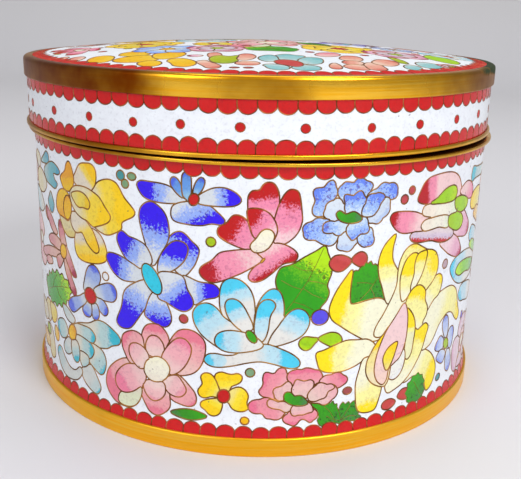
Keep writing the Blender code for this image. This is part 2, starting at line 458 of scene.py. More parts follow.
# %% Yellow rose with a curled heart, left
yellow_rose = flower(
    -46.4, 48.2,
    petal(CHROME, -36.3,54.8, -35,55.8, -33,56.5, -31.5,56.6, -30,56, -28.2,53.5, -26.3,51.7,
        -25.6,50.8, -26,50, -29,48.2, -29,47, -30.5,45.9, -33.2,44.9, -36.8,46, -42,50, -40,54,
        grow=10, fade=(0.35, 0.75)),
    petal(DUSK_YELLOW, -43.5,54.8, -42.5,56.6, -41,58.5, -39,59, -37,59, -35.9,57.8, -36.3,54.8,
        -39,53, grow=45, fade=(0.45, 0.75)),
    petal(AMBER, -49,54.5, -46.8,56.2, -46.3,57.5, -45.3,58.5, -44.4,58, -43.4,54.8, -44.5,52.5,
        -47,52, -48.3,53, grow=100, fade=(0.1, 0.5)),
    petal(STRAW, -50,46.3, -48.8,43.2, -46.5,41.7, -43.2,42.6, -42,45, -46,47.5, grow=-90),
    petal(DUSK_YELLOW, -43.3,43.3, -43.8,39.8, -43,38.2, -41.8,37.6, -39,37.5, -36,38, -34,38.8,
        -33.3,39.7, -33.4,41.5, -34.3,43.5, -35.5,44.7, -37.7,45.3, -41,44.5, grow=-80,
        fade=(0.35, 0.85)),
    petal(DUSK_YELLOW, -41,43.8, -39.5,42, -38,40.8, -36.5,40.2, -35.6,40.9, -36.3,43, -37.7,45.2,
        -41,47.3, -44.5,47.6, -45,45, -43.3,43.4, grow=-50, fade=(0.3, 0.8)),
    petal(AMBER, -51.6,47.3, -51,50, -49.5,51.5, -47,51.9, -45,50, -46,45.5, -48.5,45.7, -50.5,46,
        grow=-110, fade=(0.2, 0.9)),
    petal(CHROME, -45,51.8, -43.5,53.3, -41.5,53.8, -39,53.8, -37,53.3, -35,52.4, -33.5,50.7,
        -32,49, -32.3,48, -33.5,47.2, -36,46.2, -37.2,45.9, -39,46.8, -41,47.1, -43,48, -44.5,49.5,
        grow=-20, fade=(0.3, 0.85)),
    petal(STRAW_GOLD, -44.5,51.6, -43,52.3, -41.3,52.6, -39.5,52.2, -38.1,50.8, -38.5,49.5,
        -40.3,49.5, -42,49.3, -43.4,50.2, grow=0),
    oval(AMBER, -46.4, 48.2, 2.8, 1.7, 80),
)
print("cells in the yellow rose:", len(yellow_rose.cells))

# %% Cobalt star of long petals


def cobalt(*numbers, **extra):
    """A petal in cobalt paste, which is ground coarsely."""
    return petal(COBALT, *numbers, grain=0.22, **extra)


cobalt_star = flower(
    -21.8, 37.3,
    cobalt(-18.2,45.6, -16.8,47.6, -15,48, -12.9,46.2, -11.6,44.9, -11.9,43, -12.8,41, -14.9,39,
        -18,42, grow=60, fade=(0.1, 0.89)),
    cobalt(-21.5,40.3, -23,44.5, -24.4,49.5, -24.2,51.8, -22.8,53.2, -21.2,53.4, -18.8,51.5,
        -17.9,48.5, -18.2,45.8, -19.6,43.3, fade=(0.15, 0.69)),
    cobalt(-20.2,39, -20,41.8, -18.5,44.4, -16.8,45.9, -15,46, -13.9,45, -14.5,42.5, -16.5,40.3,
        -18.5,39.2, grow=85, fade=(0.15, 0.56)),
    cobalt(-21.8,40.8, -23,44, -25.2,45.1, -27.2,45.5, -28.9,46.4, -30,45.6, -30.1,44, -28,40.8,
        -25,39.2, grow=155, fade=(0.2, 0.69)),
    cobalt(-33.3,39.9, -32.8,41, -30,41, -27.5,40.2, -24.3,38.6, -23.8,36.6, -26.5,36, -29,35.9,
        -31,36.8, -32.4,38.2, grow=165, fade=(0.25, 0.69)),
    cobalt(-14.9,38.9, -11.5,38, -8.4,37.7, -7.3,36.5, -7.7,35.3, -10.3,34.5, -12.5,33.2, -15,36,
        grow=0, fade=(0.35, 0.65)),
    cobalt(-23,36.8, -26.5,35.3, -28.6,33.3, -29.4,29.8, -30.5,27.3, -30.8,26, -30,25.2, -28.7,25.1,
        -27.2,25.6, -24.8,28.8, -22.4,32.5, -21.8,35, grow=-120, fade=(0.2, 0.61)),
    cobalt(-21.5,34.4, -23.4,30.2, -23.4,29, -20.8,27.7, -18.7,27.4, -17.5,28.8, -17.8,31,
        -19.3,33.6, grow=-90, fade=(0.2, 0.81)),
    cobalt(-20.3,38.6, -18.5,39.3, -15,38.8, -14,36.2, -12.8,34, -12.9,32.6, -14.3,31.5, -15.8,31.6,
        -18.5,32.9, -20.3,33.6, grow=-50, fade=(0.3, 0.69)),
    oval(AQUA, -21.8, 37.3, 3.5, 1.8, -60),
)
print("cells in the cobalt star:", len(cobalt_star.cells))

# %% Cobalt fan with a red heart
cobalt_fan = flower(
    -12.8, 54.6,
    cobalt(-24.9,56.6, -24.3,57.4, -22.5,57.5, -18,57.1, -15,55.2, -14,54.3, -16,53.9, -20,53.7,
        -23.3,54.4, grow=175, fade=(0.3, 0.72)),
    cobalt(-17.3,51.8, -16.8,53.3, -14,54.3, -11.5,54.3, -9.5,53.8, -8.2,52.9, -6.4,51, -7,50.3,
        -9,50.4, -11,49.9, -14,49.9, -16.8,50.4, grow=-60, fade=(0.1, 0.69)),
    cobalt(-12,55.3, -10.3,56.6, -8.5,57.4, -6.5,57.5, -5,57, -3.8,56.2, -3.3,55.3, -3.8,54.6,
        -5.2,54.1, -9.5,54, -12,54.4, grow=5, fade=(0.35, 0.72)),
    petal(STEEL_BLUE, -17.4,58.4, -16.8,59, -15.8,58.4, -14.4,55.2, -15.2,55.2, -17.2,57.2),
    petal(STEEL_BLUE, -14.9,56, -14.9,59.6, -14.2,60.2, -13.4,59.6, -13.2,57.5, -13.4,55.6,
        -14.4,55),
    petal(STEEL_BLUE, -12.7,56, -12.2,58.2, -11.2,59.3, -10.5,58.8, -10.9,57.2, -11.9,55.9),
    oval(RED_GLASS, -12.6, 54.9, 1.3, 1.05, 65),
)
print("cells in the cobalt fan:", len(cobalt_fan.cells))

# %% Small blue flower and its ring
small_blue = flower(
    -38.9, 29.9,
    petal(HARBOUR, -41,30.8, -40.4,34, -39.4,36.2, -38,37.1, -36.5,36.8, -35.4,35, -36.3,32.8,
        -38,31, fade=(0.2, 1)),
    petal(HARBOUR, -37.5,31.8, -33.5,34, -31.8,34, -30.9,32.9, -31,31.2, -32.2,30.2, -36.8,30.3,
        fade=(0.2, 0.9)),
    petal(HARBOUR, -36.9,29.6, -35,29.9, -33.6,28.6, -33.5,27.3, -34.5,26.5, -36.2,27.6),
    petal(HARBOUR, -38.5,28.2, -38.1,24.9, -37,24.8, -36.2,26, -36.7,28.3),
    petal(HARBOUR, -40.2,28.5, -41.8,25.9, -41,24.8, -39.2,25, -38.6,26.5, -38.9,28.2),
    petal(HARBOUR, -40.5,30, -43,28.7, -46,27.5, -47.8,25.8, -47.2,24.6, -45.6,24.2, -43,26,
        -40.3,28.3),
    oval(RED_GLASS, -38.9, 29.9, 2, 1.85),
    oval(WHITE, -33.8, 35.55, 0.95),
)
print("cells in the small blue:", len(small_blue.cells))

# %% Turquoise aster, lower left
turquoise_aster = flower(
    -46.8, 18.8,
    petal(SEA_WITH_PAINTED_SHADE, -44.9,21.3, -39.5,23.3, -37,24.6, -34.5,24.7, -31,23.1, -30.1,22, -30.4,20.9,
        -32.5,20, -34,19, -37.5,18.4, -42,18.8, grow=10, fade=(0.45, 0.85)),
    petal(SEA_WITH_PAINTED_SHADE, -45.5,21.2, -41,22, -39,21.8, -37.7,20.5, -38.3,19.1, -40,18.6, -45,18.7, grow=0,
        fade=(0.2, 0.95)),
    petal(SEA_WITH_PAINTED_SHADE, -40,18.3, -35.8,18, -34.5,15.8, -35.1,13, -36.3,12, -38.5,13, -40.3,14.3, grow=-40,
        fade=(0.3, 1)),
    petal(SEA_WITH_PAINTED_SHADE, -45,18.7, -43.5,15.2, -40,14.7, -38.3,16.9, -39.5,18.5, grow=0, fade=(0.2, 0.9)),
    petal(SEA_WITH_PAINTED_SHADE, -43.6,15.2, -43.6,13, -42,11.3, -40.4,13.3, -40.5,15, grow=-60, fade=(0.2, 1.3)),
    petal(PEARL_SEA_WITH_PAINTED_SHADE, -43.3,11, -42.8,9.3, -41.2,7.9, -37.6,6.9, -36.4,8.5, -37.5,10.8, -39.5,13.2,
        -41.5,12, grow=-45, fade=(0.5, 1)),
    petal(PEARL_SEA_WITH_PAINTED_SHADE, -55.3,11, -54.5,12.6, -52.8,12.9, -50.8,11, -48.5,9.6, -46,9.6, -43.7,11.2,
        -42.9,10.3, -45,7.8, -48,6.9, -51,7, -53.5,8.3, grow=160, fade=(0.5, 1)),
    petal(PEARL_SEA_WITH_PAINTED_SHADE, -48.5,17, -51,14.6, -50.8,13, -49.3,12.6, -47.3,13.8, -46.8,16,
        fade=(0.3, 1.2)),
    petal(SEA_WITH_PAINTED_SHADE, -47,16.8, -47,13.5, -45.8,12, -44.4,12.4, -43.8,15, -44.6,17.2, fade=(0.2, 0.8)),
    petal(SEA_WITH_PAINTED_SHADE, -54.4,18.2, -53.5,19.8, -50.5,20.6, -48.6,18.5, -50,16.5, -52.5,15.9, fade=(0, 0.9)),
    petal(PEARL_SEA_WITH_PAINTED_SHADE, -50.8,24.3, -49.1,24.5, -47,23.6, -45.2,22.4, -46,21.3, -48.1,21.3, -49.9,22.4,
        grow=150, fade=(0.2, 1.2)),
    oval(AMBER, -46.6, 18.9, 2.1, 1.6, 60),
)
print("cells in the turquoise aster:", len(turquoise_aster.cells))

# %% Pink camellia with doubled petals
pink_camellia = flower(
    -20.9, 17.4,
    petal(CAMELLIA, -24.3,23.2, -24.2,25, -23.3,26.7, -21.8,27.4, -20.2,27.4, -18.6,26, -18,24,
        -19,20, -23,20, fade=(0.3, 0.9)),
    petal(CAMELLIA, -18.2,23.2, -16,26.7, -14,27.4, -12,26.9, -10.3,25.2, -10.2,22.5, -11.2,19.5,
        -13,17.7, -16.5,17, -19.5,19, grow=70, fade=(0.25, 0.85)),
    petal(CAMELLIA, -16.3,17, -12.8,14, -12,12.3, -12.3,10.7, -13.5,10.1, -15.3,10.3, -17.5,11.2,
        -19,15, grow=-60, fade=(0.3, 1)),
    petal(CAMELLIA, -24.6,11.4, -23,7.7, -21.5,6.8, -20,7, -18,8.9, -17.9,11, -18.4,13.3, -22,14,
        fade=(0.2, 0.9)),
    petal(CAMELLIA, -27.3,18, -29.8,17.6, -33.3,14.6, -34.4,11.5, -33.9,9.2, -31.8,7.3, -29.3,6.8,
        -27,7.2, -25.2,9.3, -24.8,11.7, -24,15, grow=-150, fade=(0.2, 0.8)),
    petal(CAMELLIA, -24.2,23.8, -25.3,24.7, -27,24.8, -29.2,23.4, -29.5,21.3, -28.6,19, -27.3,17.4,
        -24,18, fade=(0.3, 0.9)),
    petal(GREEN_CREAM, -24.9,10, -26.3,7.7, -28.6,6.9, -30.8,7.5, -30.2,9.6, -27,10.8, -24.8,12.2,
        grow=-90),
    petal(BLUSH, -22.7,20.3, -23.4,22, -22.8,24, -21.8,24.8, -20.4,24.6, -19.2,22.8, -19.6,20.6,
        fade=(0.2, 1)),
    petal(CAMELLIA_HEART, -19.6,20.4, -18,23.3, -15.9,25.2, -14.2,25, -13.1,23.3, -13.9,20.3,
        -15.5,18, -17.5,16.8, -19.2,18, grow=60, fade=(0.2, 0.9)),
    petal(BLUSH, -19.4,15, -16.4,16.7, -14.9,15.2, -14.2,13.6, -15,12.3, -16.3,11.9, -18.2,12.6,
        grow=-30),
    petal(BLUSH, -23.3,14.2, -24.1,12.8, -23.2,10.8, -21.8,9.9, -20.2,10.5, -19,12.2, -19.4,14.5,
        fade=(0.2, 1)),
    petal(CAMELLIA_HEART, -24.3,17.2, -26.5,17.2, -28.5,16.7, -30.5,15, -31.6,13, -31.3,11, -30,10,
        -28,10.3, -25.8,11.7, -23.6,14.4, grow=-150, fade=(0.1, 0.8)),
    petal(BLUSH, -22.8,20, -24,21.6, -25.8,22.2, -27.3,21.6, -27.6,19.8, -26.5,17.8, -24.7,16.7,
        -23,18, fade=(0.2, 1)),
    petal(CREAM_GLASS, -22.8,19.1, -20.8,20.2, -19,19.7, -17.9,18, -18.6,15.9, -20.4,14.6,
        -22.5,14.7, -23.8,16.2, -23.5,18.2, grow=-90),
    oval(ROSE, -14.7, 29.7, 0.95),
)
print("cells in the pink camellia:", len(pink_camellia.cells))

# %% Red-tipped magnolia
red_magnolia = flower(
    0.8, 47.2,
    petal(CRIMSON_EDGE, -1.9,55, -1.8,56.3, -1.1,57.2, 0.3,57.4, 0.8,58.3, 1.6,58.9, 2.8,58.8,
        3.7,57.4, 4,55.5, 3.9,53.5, 3,51, -1,50, -1.7,52, grow=95, fade=(0.1, 0.72), grain=0.13),
    petal(CRIMSON_EDGE, 3.7,53.2, 4.4,55.3, 5.2,56.8, 6.2,57.6, 7.5,57.3, 8,56.2, 8.5,53, 8.6,51.3,
        7.8,49, 6,47.2, 4,46.6, 2.8,48.5, grow=80, fade=(0.1, 0.83), grain=0.13),
    petal(CRIMSON_EDGE, -0.9,49, -1.5,50.6, -3.2,52.1, -4.7,52.2, -6,50.6, -7.3,49.9, -7.8,48.9,
        -7.3,47.8, -4.5,46.3, -1.3,45.5, 0.5,46.5, grow=150, fade=(0, 0.72), grain=0.14),
    petal(CRIMSON_EDGE, -1.9,53.5, 0.3,53.7, 2.2,52.8, 3.4,51.1, 3.8,49.5, 3.4,48, 2.7,47, 1.3,47.4,
        -0.5,48, -1.5,50.2, -1.9,52, grow=145, fade=(0.1, 0.7), grain=0.14),
    petal(PINK_TO_RED, 1.6,43.8, 0,45.3, -2,45.4, -5,45, -7.3,44.4, -8.8,42.8, -11,41.2, -11.3,40,
        -10.3,38.8, -8.3,38.3, -4,40.1, -1,41.8, grow=200, fade=(0.1, 0.87), grain=0.13),
    petal(PINK_TO_RED, 0,45.2, 2.3,46.5, 4.3,46.8, 6.5,46, 8,44.6, 7.6,43.3, 5.2,42.7, 3,40.7,
        1,39.2, -0.7,38.9, -1.5,39.8, -0.5,41.7, 1.4,43.5, grow=-55, fade=(0.1, 0.88), grain=0.14),
    petal(CREAM_GLASS, -1.3,46.2, 0,47.9, 0.6,48.9, 1.5,49.6, 2.7,49.4, 3.3,48.3, 2.4,46.2,
        0.9,45.1, -0.6,45.1, grow=-90),
    oval(OCHRE, 1.2, 43.3, 0.8, 0.25, 50, wire=FINE_WIRE),
    oval(LIME_GLASS, -9.1, 46.6, 1),
)
print("cells in the red magnolia:", len(red_magnolia.cells))


# %% Turquoise water lily
water_lily = flower(
    0.3, 26.5,
    petal(TURQUOISE, -6.3,31, -7,33, -7.1,36, -6.6,38.2, -5.3,39.2, -3.5,39.1, -1.8,37.9, -0.6,35.8,
        -0.1,32.5, -0.2,29.5, -2,27.5, -5,29, grow=110, fade=(0.5, 0.85)),
    petal(TURQUOISE, 0.3,33, 1.3,35.5, 2.8,37.1, 4.2,37.2, 5.2,35.9, 5.7,33.5, 5.6,31, 4.8,28.5,
        2.9,25.6, 1,26, 0,29, grow=95, fade=(0.48, 0.85)),
    petal(TURQUOISE, -12.6,30.2, -12.5,31.8, -11.3,33.2, -9.5,33.6, -7.8,32.7, -6.3,30.9, -3,28.5,
        -2.5,25.5, -5,23.3, -7.3,24.3, -10.5,26.5, -12,28.5, grow=135, fade=(0.33, 0.85)),
    petal(TURQUOISE, 5.8,30.8, 7,32.3, 8.5,33, 10,32.5, 11,31, 10.9,29.2, 9.8,27.4, 7.5,26, 3,25,
        3.5,27.2, 4.9,29.4, grow=60, fade=(0.33, 0.9)),
    petal(TURQUOISE, -6,33.3, -5.6,34.6, -4.3,34.9, -3,34.2, -1.6,32, -0.4,28.8, -2.2,28.2, -4,29.4,
        -5.3,31, grow=120, fade=(0.28, 0.75)),
    petal(TURQUOISE, 0.2,31.5, 0.7,33.7, 1.8,34.9, 3.2,34.9, 4,33.8, 3,31.6, 2.6,28.5, 1.9,26.4,
        0.7,25.6, 0,28.5, grow=85, fade=(0.03, 0.7)),
    petal(TURQUOISE, -10,21, -9.8,22.2, -8.5,22.7, -6,22.5, -4.1,22.7, -2.5,23.6, 0,24.8, 2.6,25.3,
        5.8,24.1, 8,22.9, 9.4,21.5, 9.3,20.4, 8,20, 6.5,20.3, 4,21.1, 1.3,21.6, -1.5,21.2,
        -4.5,20.4, -7.3,19.9, -9,20.1, grow=0, fade=(0.5, 0.85)),
    petal(TURQUOISE, -10.2,21, -9.8,22.2, -8.5,22.7, -6.6,22.5, -5.6,21.3, -6.6,20.1, -9,20.1,
        grow=180, fade=(-0.3, 0.9), wire=0.0),
    petal(TURQUOISE, -1.8,27.7, -3.5,28, -5.5,28, -7.3,27.3, -8,26, -7.8,24.8, -6.3,23.7, -4,23.4,
        -1,23.8, 1.2,24.5, 1.8,25.3, 0,27, grow=180, fade=(0.38, 0.9)),
    oval(GREEN_GLASS, -0.6, 27, 1.6, 0.85, -55),
)
print("cells in the water lily:", len(water_lily.cells))

# %% Light blue peony with a green heart
blue_peony = flower(
    18.3, 51.8,
    frilled(PEONY_BLUE, 10.5,53.5, 11.3,55.3, 10.6,56.7, 11,57.6, 12.5,57.9, 13.4,58.8, 14.4,59.2,
        15.2,58.3, 15.3,56.5, 14.5,54.5, 15,52, 13.2,52.1, 11.2,52.6, grow=135, grain=0.3),
    frilled(PEONY_BLUE, 16,55.8, 15.9,57.6, 16.8,58.8, 18.6,58.7, 19.8,59.5, 22,58.9, 23,57.9,
        22.5,56.4, 21.3,55, 17,54.8, grow=90, grain=0.3),
    frilled(PEONY_BLUE, 21.8,55.5, 25.3,58, 27,58.2, 28.6,57.7, 29.4,56.5, 28.8,55.2, 27.3,54.7,
        25,54.5, 23,54, grow=40, grain=0.3),
    frilled(PEARL_BLUE, 24,53, 25,55, 27.2,54.9, 27.6,53, 26.2,51, 24.3,50.1, 22.3,50.8, 21.5,52,
        grow=-45),
    frilled(PEONY_BLUE, 8.9,49, 9.3,50.4, 10.8,51.4, 12.8,51.8, 15.2,51, 18,50, 17,48.5, 15.5,46.8,
        13.8,46.2, 12.3,47.2, 9.8,47.8, grow=190, fade=(0.2, 1), grain=0.3),
    frilled(PEARL_BLUE, 17.6,49.2, 16.2,47.3, 16.3,45.7, 17.8,44.8, 19.4,45.4, 20.5,46.8, 20,48.5,
        grow=-90),
    frilled(PEONY_BLUE, 20.3,47.1, 21.3,46, 22.6,45.3, 23.8,45.8, 24.2,47.3, 23.2,49.2, 21.5,49,
        grow=-60, grain=0.3),
    frilled(PEARL_BLUE, 13.1,53.6, 14,54.9, 15.3,55.7, 16.5,55.1, 17.4,53.4, 16.5,51.5, 14.5,51.3,
        13.2,52.4, grow=-90, fade=(0.3, 1.2)),
    frilled(PEONY_BLUE, 17.2,54.8, 17.3,56.2, 18.8,56.2, 20.6,56.8, 21.6,55.8, 22,53.8, 21.5,51.8,
        18.3,52, grow=95, fade=(0.3, 0.8), grain=0.3),
    frilled(PEONY_BLUE, 21.7,54.5, 22.8,56, 24.5,56.3, 26.2,55.3, 25,54, 24.4,52.3, 22.8,51.8,
        21.3,51.8, grow=60, fade=(0, 0.8), grain=0.3),
    frilled(PEONY_BLUE, 12.8,49.8, 13.3,50.7, 15.2,51.2, 18.2,50.6, 18.3,49.6, 16.6,48.4, 14.5,48.8,
        13.2,49.1, grow=185, fade=(0.3, 1), grain=0.3),
    frilled(PEONY_BLUE, 18.2,50.3, 18.4,48, 19.2,47.1, 20.8,48, 22.6,48.5, 22.8,50, 21.5,51.6,
        grow=-70, fade=(0.2, 1), grain=0.3),
    petal(GREEN, 15.6,52.6, 16.3,53.2, 17.5,52.4, 19.4,52.8, 21.2,51.3, 20.2,50.7, 18,50.7,
        16.3,51.4, grow=-20),
)
print("cells in the blue peony:", len(blue_peony.cells))

# %% Big leaf, beads and beans between the flowers
big_leaf = flower(
    8.5, 36,
    petal(SPRING_LEAF, 5,41.8, 7,42.4, 9.7,44, 12,45.2, 13.6,46.1, 14.2,44.6, 15,42.6, 15.2,40.6,
        14.4,37.8, 14.9,36.3, 14.4,34.6, 13.3,33.3, 12.8,32, 10.5,31, 8,31, 5.7,31.8, 4.8,36,
        4,38.8, 4.3,40.6, grow=55, fade=(0.44, 0.74), grain=0.3),
    veins=(
        (13.3,45.7, 12,42.5, 10.4,39, 8.2,35.5, 6.2,32.6), (10.4,39, 12.7,38.6, 14.6,37.8),
        (9.4,37.5, 11.5,36, 13.8,35), (11.3,41, 9.2,41.3, 7.3,42.2), (9.2,37.2, 7.2,37.9, 5,39.2),
        (7.6,34.6, 9.7,33.9, 11.8,32.7),
    ),
)
beads = flower(
    13, 31,
    oval(VIOLET, 13.3, 31, 1.85, 1.7),
    petal(LIME, 13.2,26.3, 11.9,26.6, 10.3,26.8, 9.3,26, 9.3,24.9, 10.3,24, 11.4,24.1, 12.3,25.2),
    petal(LIME, 13.2,26.3, 14.3,27, 15.8,27.4, 17.4,27, 18.3,25.9, 18.2,24.8, 16.9,24.2, 15.6,24.6),
    petal(RED, 14.7,42.5, 15.6,43.8, 17,44, 18.5,43.5, 19.5,42.7, 18.8,41.7, 17.6,40.8, 16.3,40.7,
        15.2,41.4),
    petal(RED, 19.5,42.8, 20.5,44, 21.8,44.3, 22.8,43.5, 22.9,42.2, 22,41.2, 21,41.5),
    oval(ROSE, 31.3, 54.4, 1), oval(ROSE, 33.2, 56.1, 0.9),
    oval(MAROON, 20.4, 13.6, 1.1, 0.9), oval(SAGE, -0.7, 19, 1),
    oval(AMBER, -1.6, 7.9, 0.95, 0.9),
    petal(RED, 34,9.2, 34.8,10.4, 36,10.7, 37.4,10.2, 37.8,9.2, 36.8,8.1, 35.2,8.3),
    petal(RED, 33.4,8.2, 32.4,9, 31,9.2, 29.7,8.6, 29.6,7.6, 30.8,7, 32.2,7.2),
    oval(MAUVE_GLASS, 47.1, 37.6, 1.1), oval(TEAL_GLASS, 49, 9.3, 1.1, 0.9),
    oval(VIOLET, 61.5, 21, 1),
    oval(TEAL_GLASS, -28.95, 58, 1.05), oval(SAGE, -27.85, 56.4, 0.95),
    oval(SAGE, -26.2, 58.1, 1.1, 0.8),
    petal(GREEN, -17.6,8, -15.5,9, -13,9.3, -11,8.9, -9.6,8.2, -11.8,7.3, -14.3,7.1),
)
print("cells in each:", [len(kind.cells) for kind in (big_leaf, beads)])

# %% Small yellow flower
buttercup = flower(
    -6.1, 13.3,
    petal(BUTTER, -7,14.6, -7.1,15.7, -7.4,16.5, -7.9,17.3, -7.7,18.2, -6.6,18.7, -5.4,18.4,
        -4.3,18.3, -3.2,18.6, -2.4,18, -2.6,16.9, -3.6,16.2, -4.6,15.7, -4.9,14.8, -5.9,14,
        fade=(0.1, 0.7), grow=95),
    petal(BUTTER, -7.1,14.8, -7.5,15.9, -8.1,17.2, -9,18.1, -10.2,18.1, -10.9,17.2, -10.5,15.8,
        -10.9,15, -11.5,14, -11.1,12.9, -10,12.6, -8.7,13.1, -7,13.1, grow=160, fade=(0.1, 0.6)),
    petal(BUTTER, -6.9,12.6, -8,12.5, -9.6,12.1, -10.8,11.4, -10.9,10.5, -9.8,9.7, -9.2,8.9,
        -8.2,8.6, -7.1,9.1, -6.6,10.2, -6.4,11.5, grow=-120, fade=(0.1, 0.6)),
    petal(BUTTER, -4.9,14.5, -3.8,15.3, -2.6,15.5, -1.5,14.7, -1,13.4, -1.3,12.4, -1.2,11.4,
        -0.9,10.9, -1.7,10.2, -3.1,10.1, -4.3,10.7, -4.8,11.7, -5.6,12.6, grow=-15,
        fade=(0.2, 0.75)),
    oval(RED_GLASS, -6.1, 13.3, 1.6, 1.35, 80),
)
print("cells in the buttercup:", len(buttercup.cells))

# %% Pink wavy peony
pink_peony = flower(
    8.7, 12.8,
    frilled(PEONY_PINK, 1.9,18.2, 2.5,19, 4,18.7, 5.2,19.8, 6.5,19.8, 7,18.5, 6.8,17, 5.5,15.5,
        6,13.5, 4,13, 2,13.9, 1.3,15, 2.3,16.5, grow=150),
    frilled(PEONY_PINK, 7.2,17, 7.4,18.8, 8.8,19.7, 10,19.3, 11,20, 12.6,19.2, 14,19, 14.4,17.6,
        13.4,16.2, 12,15.5, 9,15.8, grow=90),
    frilled(PEONY_PINK, 13.8,16.2, 15.2,17.6, 17,18, 18.8,17.8, 20,16.6, 19.7,15.3, 18.3,14.8,
        16,15, grow=20),
    frilled(PEONY_PINK, -1,11, -0.2,12.3, 2,13.1, 4.5,13, 7,12.2, 7,10, 5.8,8.7, 4.3,8.3, 3,8.7,
        2.2,9.6, 0.5,9.8, grow=190),
    frilled(PEONY_PINK, 7.3,9.6, 6.6,8.4, 7.4,7.2, 9,7, 10.1,7.9, 11.1,8.1, 12.3,7.3, 13.5,8,
        13.7,9.3, 12.7,10.5, 9,11, grow=-90),
    frilled(PEONY_HEART, 15,14.5, 16.5,15.4, 17.9,14.8, 17.8,13.2, 16.8,11.8, 15,11.2, 13,11.8,
        11.8,12.3, 13.8,13.4, grow=-10),
    frilled(PEONY_HEART, 6,16, 4.5,15.2, 4.3,13.9, 5.2,13, 6.6,12.8, 8.2,13.6, 8.3,15.5, 7.2,16.8,
        grow=150),
    frilled(PEONY_HEART, 8.6,13.6, 8.3,15.8, 8.9,17.2, 10.3,16.8, 11.8,17.1, 12.6,16.1, 12.2,14,
        11,12.8, grow=90),
    frilled(PEONY_HEART, 11.5,12.8, 12.5,15, 13.8,16, 15.3,15.8, 16.6,15.6, 17.2,14.8, 15.8,13.9,
        15.2,12.8, 13.5,12.2, grow=40),
    frilled(PEONY_HEART, 3,11.5, 3.5,12.8, 5.2,12.4, 7.3,12, 8.2,11, 7,10, 5.3,10.8, 4,11.1,
        grow=190),
    frilled(PEONY_HEART, 8.3,11.3, 8.2,10, 8.8,9.1, 10.4,9.2, 11.6,9.6, 12.8,9.6, 12.4,10.8,
        11.6,12, 9.5,12, grow=-90),
    petal(GREEN, 6.5,13.6, 6.9,14.5, 8,14.3, 8.6,13.5, 9.9,13.6, 11,12.7, 11.6,11.7, 10.3,11.3,
        8.3,11.6, 6.9,12.5, grow=-20),
)
ragged_leaf = flower(
    18.5, 9,
    notched(GREEN, 12.2,12.1, 13.6,11.1, 14.6,11.6, 15.2,10.9, 16,11.6, 16.6,11, 17.2,11.7,
        17.5,10.7, 18.2,10.9, 18.1,9.9, 18.8,9.3, 18.9,10.2, 19.6,11.1, 20.1,10.3, 20.9,11,
        21.3,10.2, 22.2,11, 22.5,10, 23.3,9.8, 22.8,8.9, 23.7,8.2, 23.2,7.5, 24.1,6.9, 23,6.3,
        21.3,6.5, 19.2,6.1, 17.3,6.9, 16.4,6, 15.3,5.9, 14.3,6.6, 13.9,7.6, 14.4,8.4, 13.6,9.2,
        14,10, 12.9,10.8, grow=-60, grain=0.35, wire=FINE_WIRE),
    veins=(
        (15.9,8.3, 17.5,7.2, 19.2,6.9), (19.2,6.9, 18.9,8.5, 18.4,9.8),
        (19.2,6.9, 21.2,7.6, 22.8,7.3), (19.2,6.9, 20.6,8.8, 21.4,10.2),
        (17.8,7.2, 16.6,9.3, 15.3,10.6),
    ),
)
print("cells in each:", [len(kind.cells) for kind in (pink_peony, ragged_leaf)])

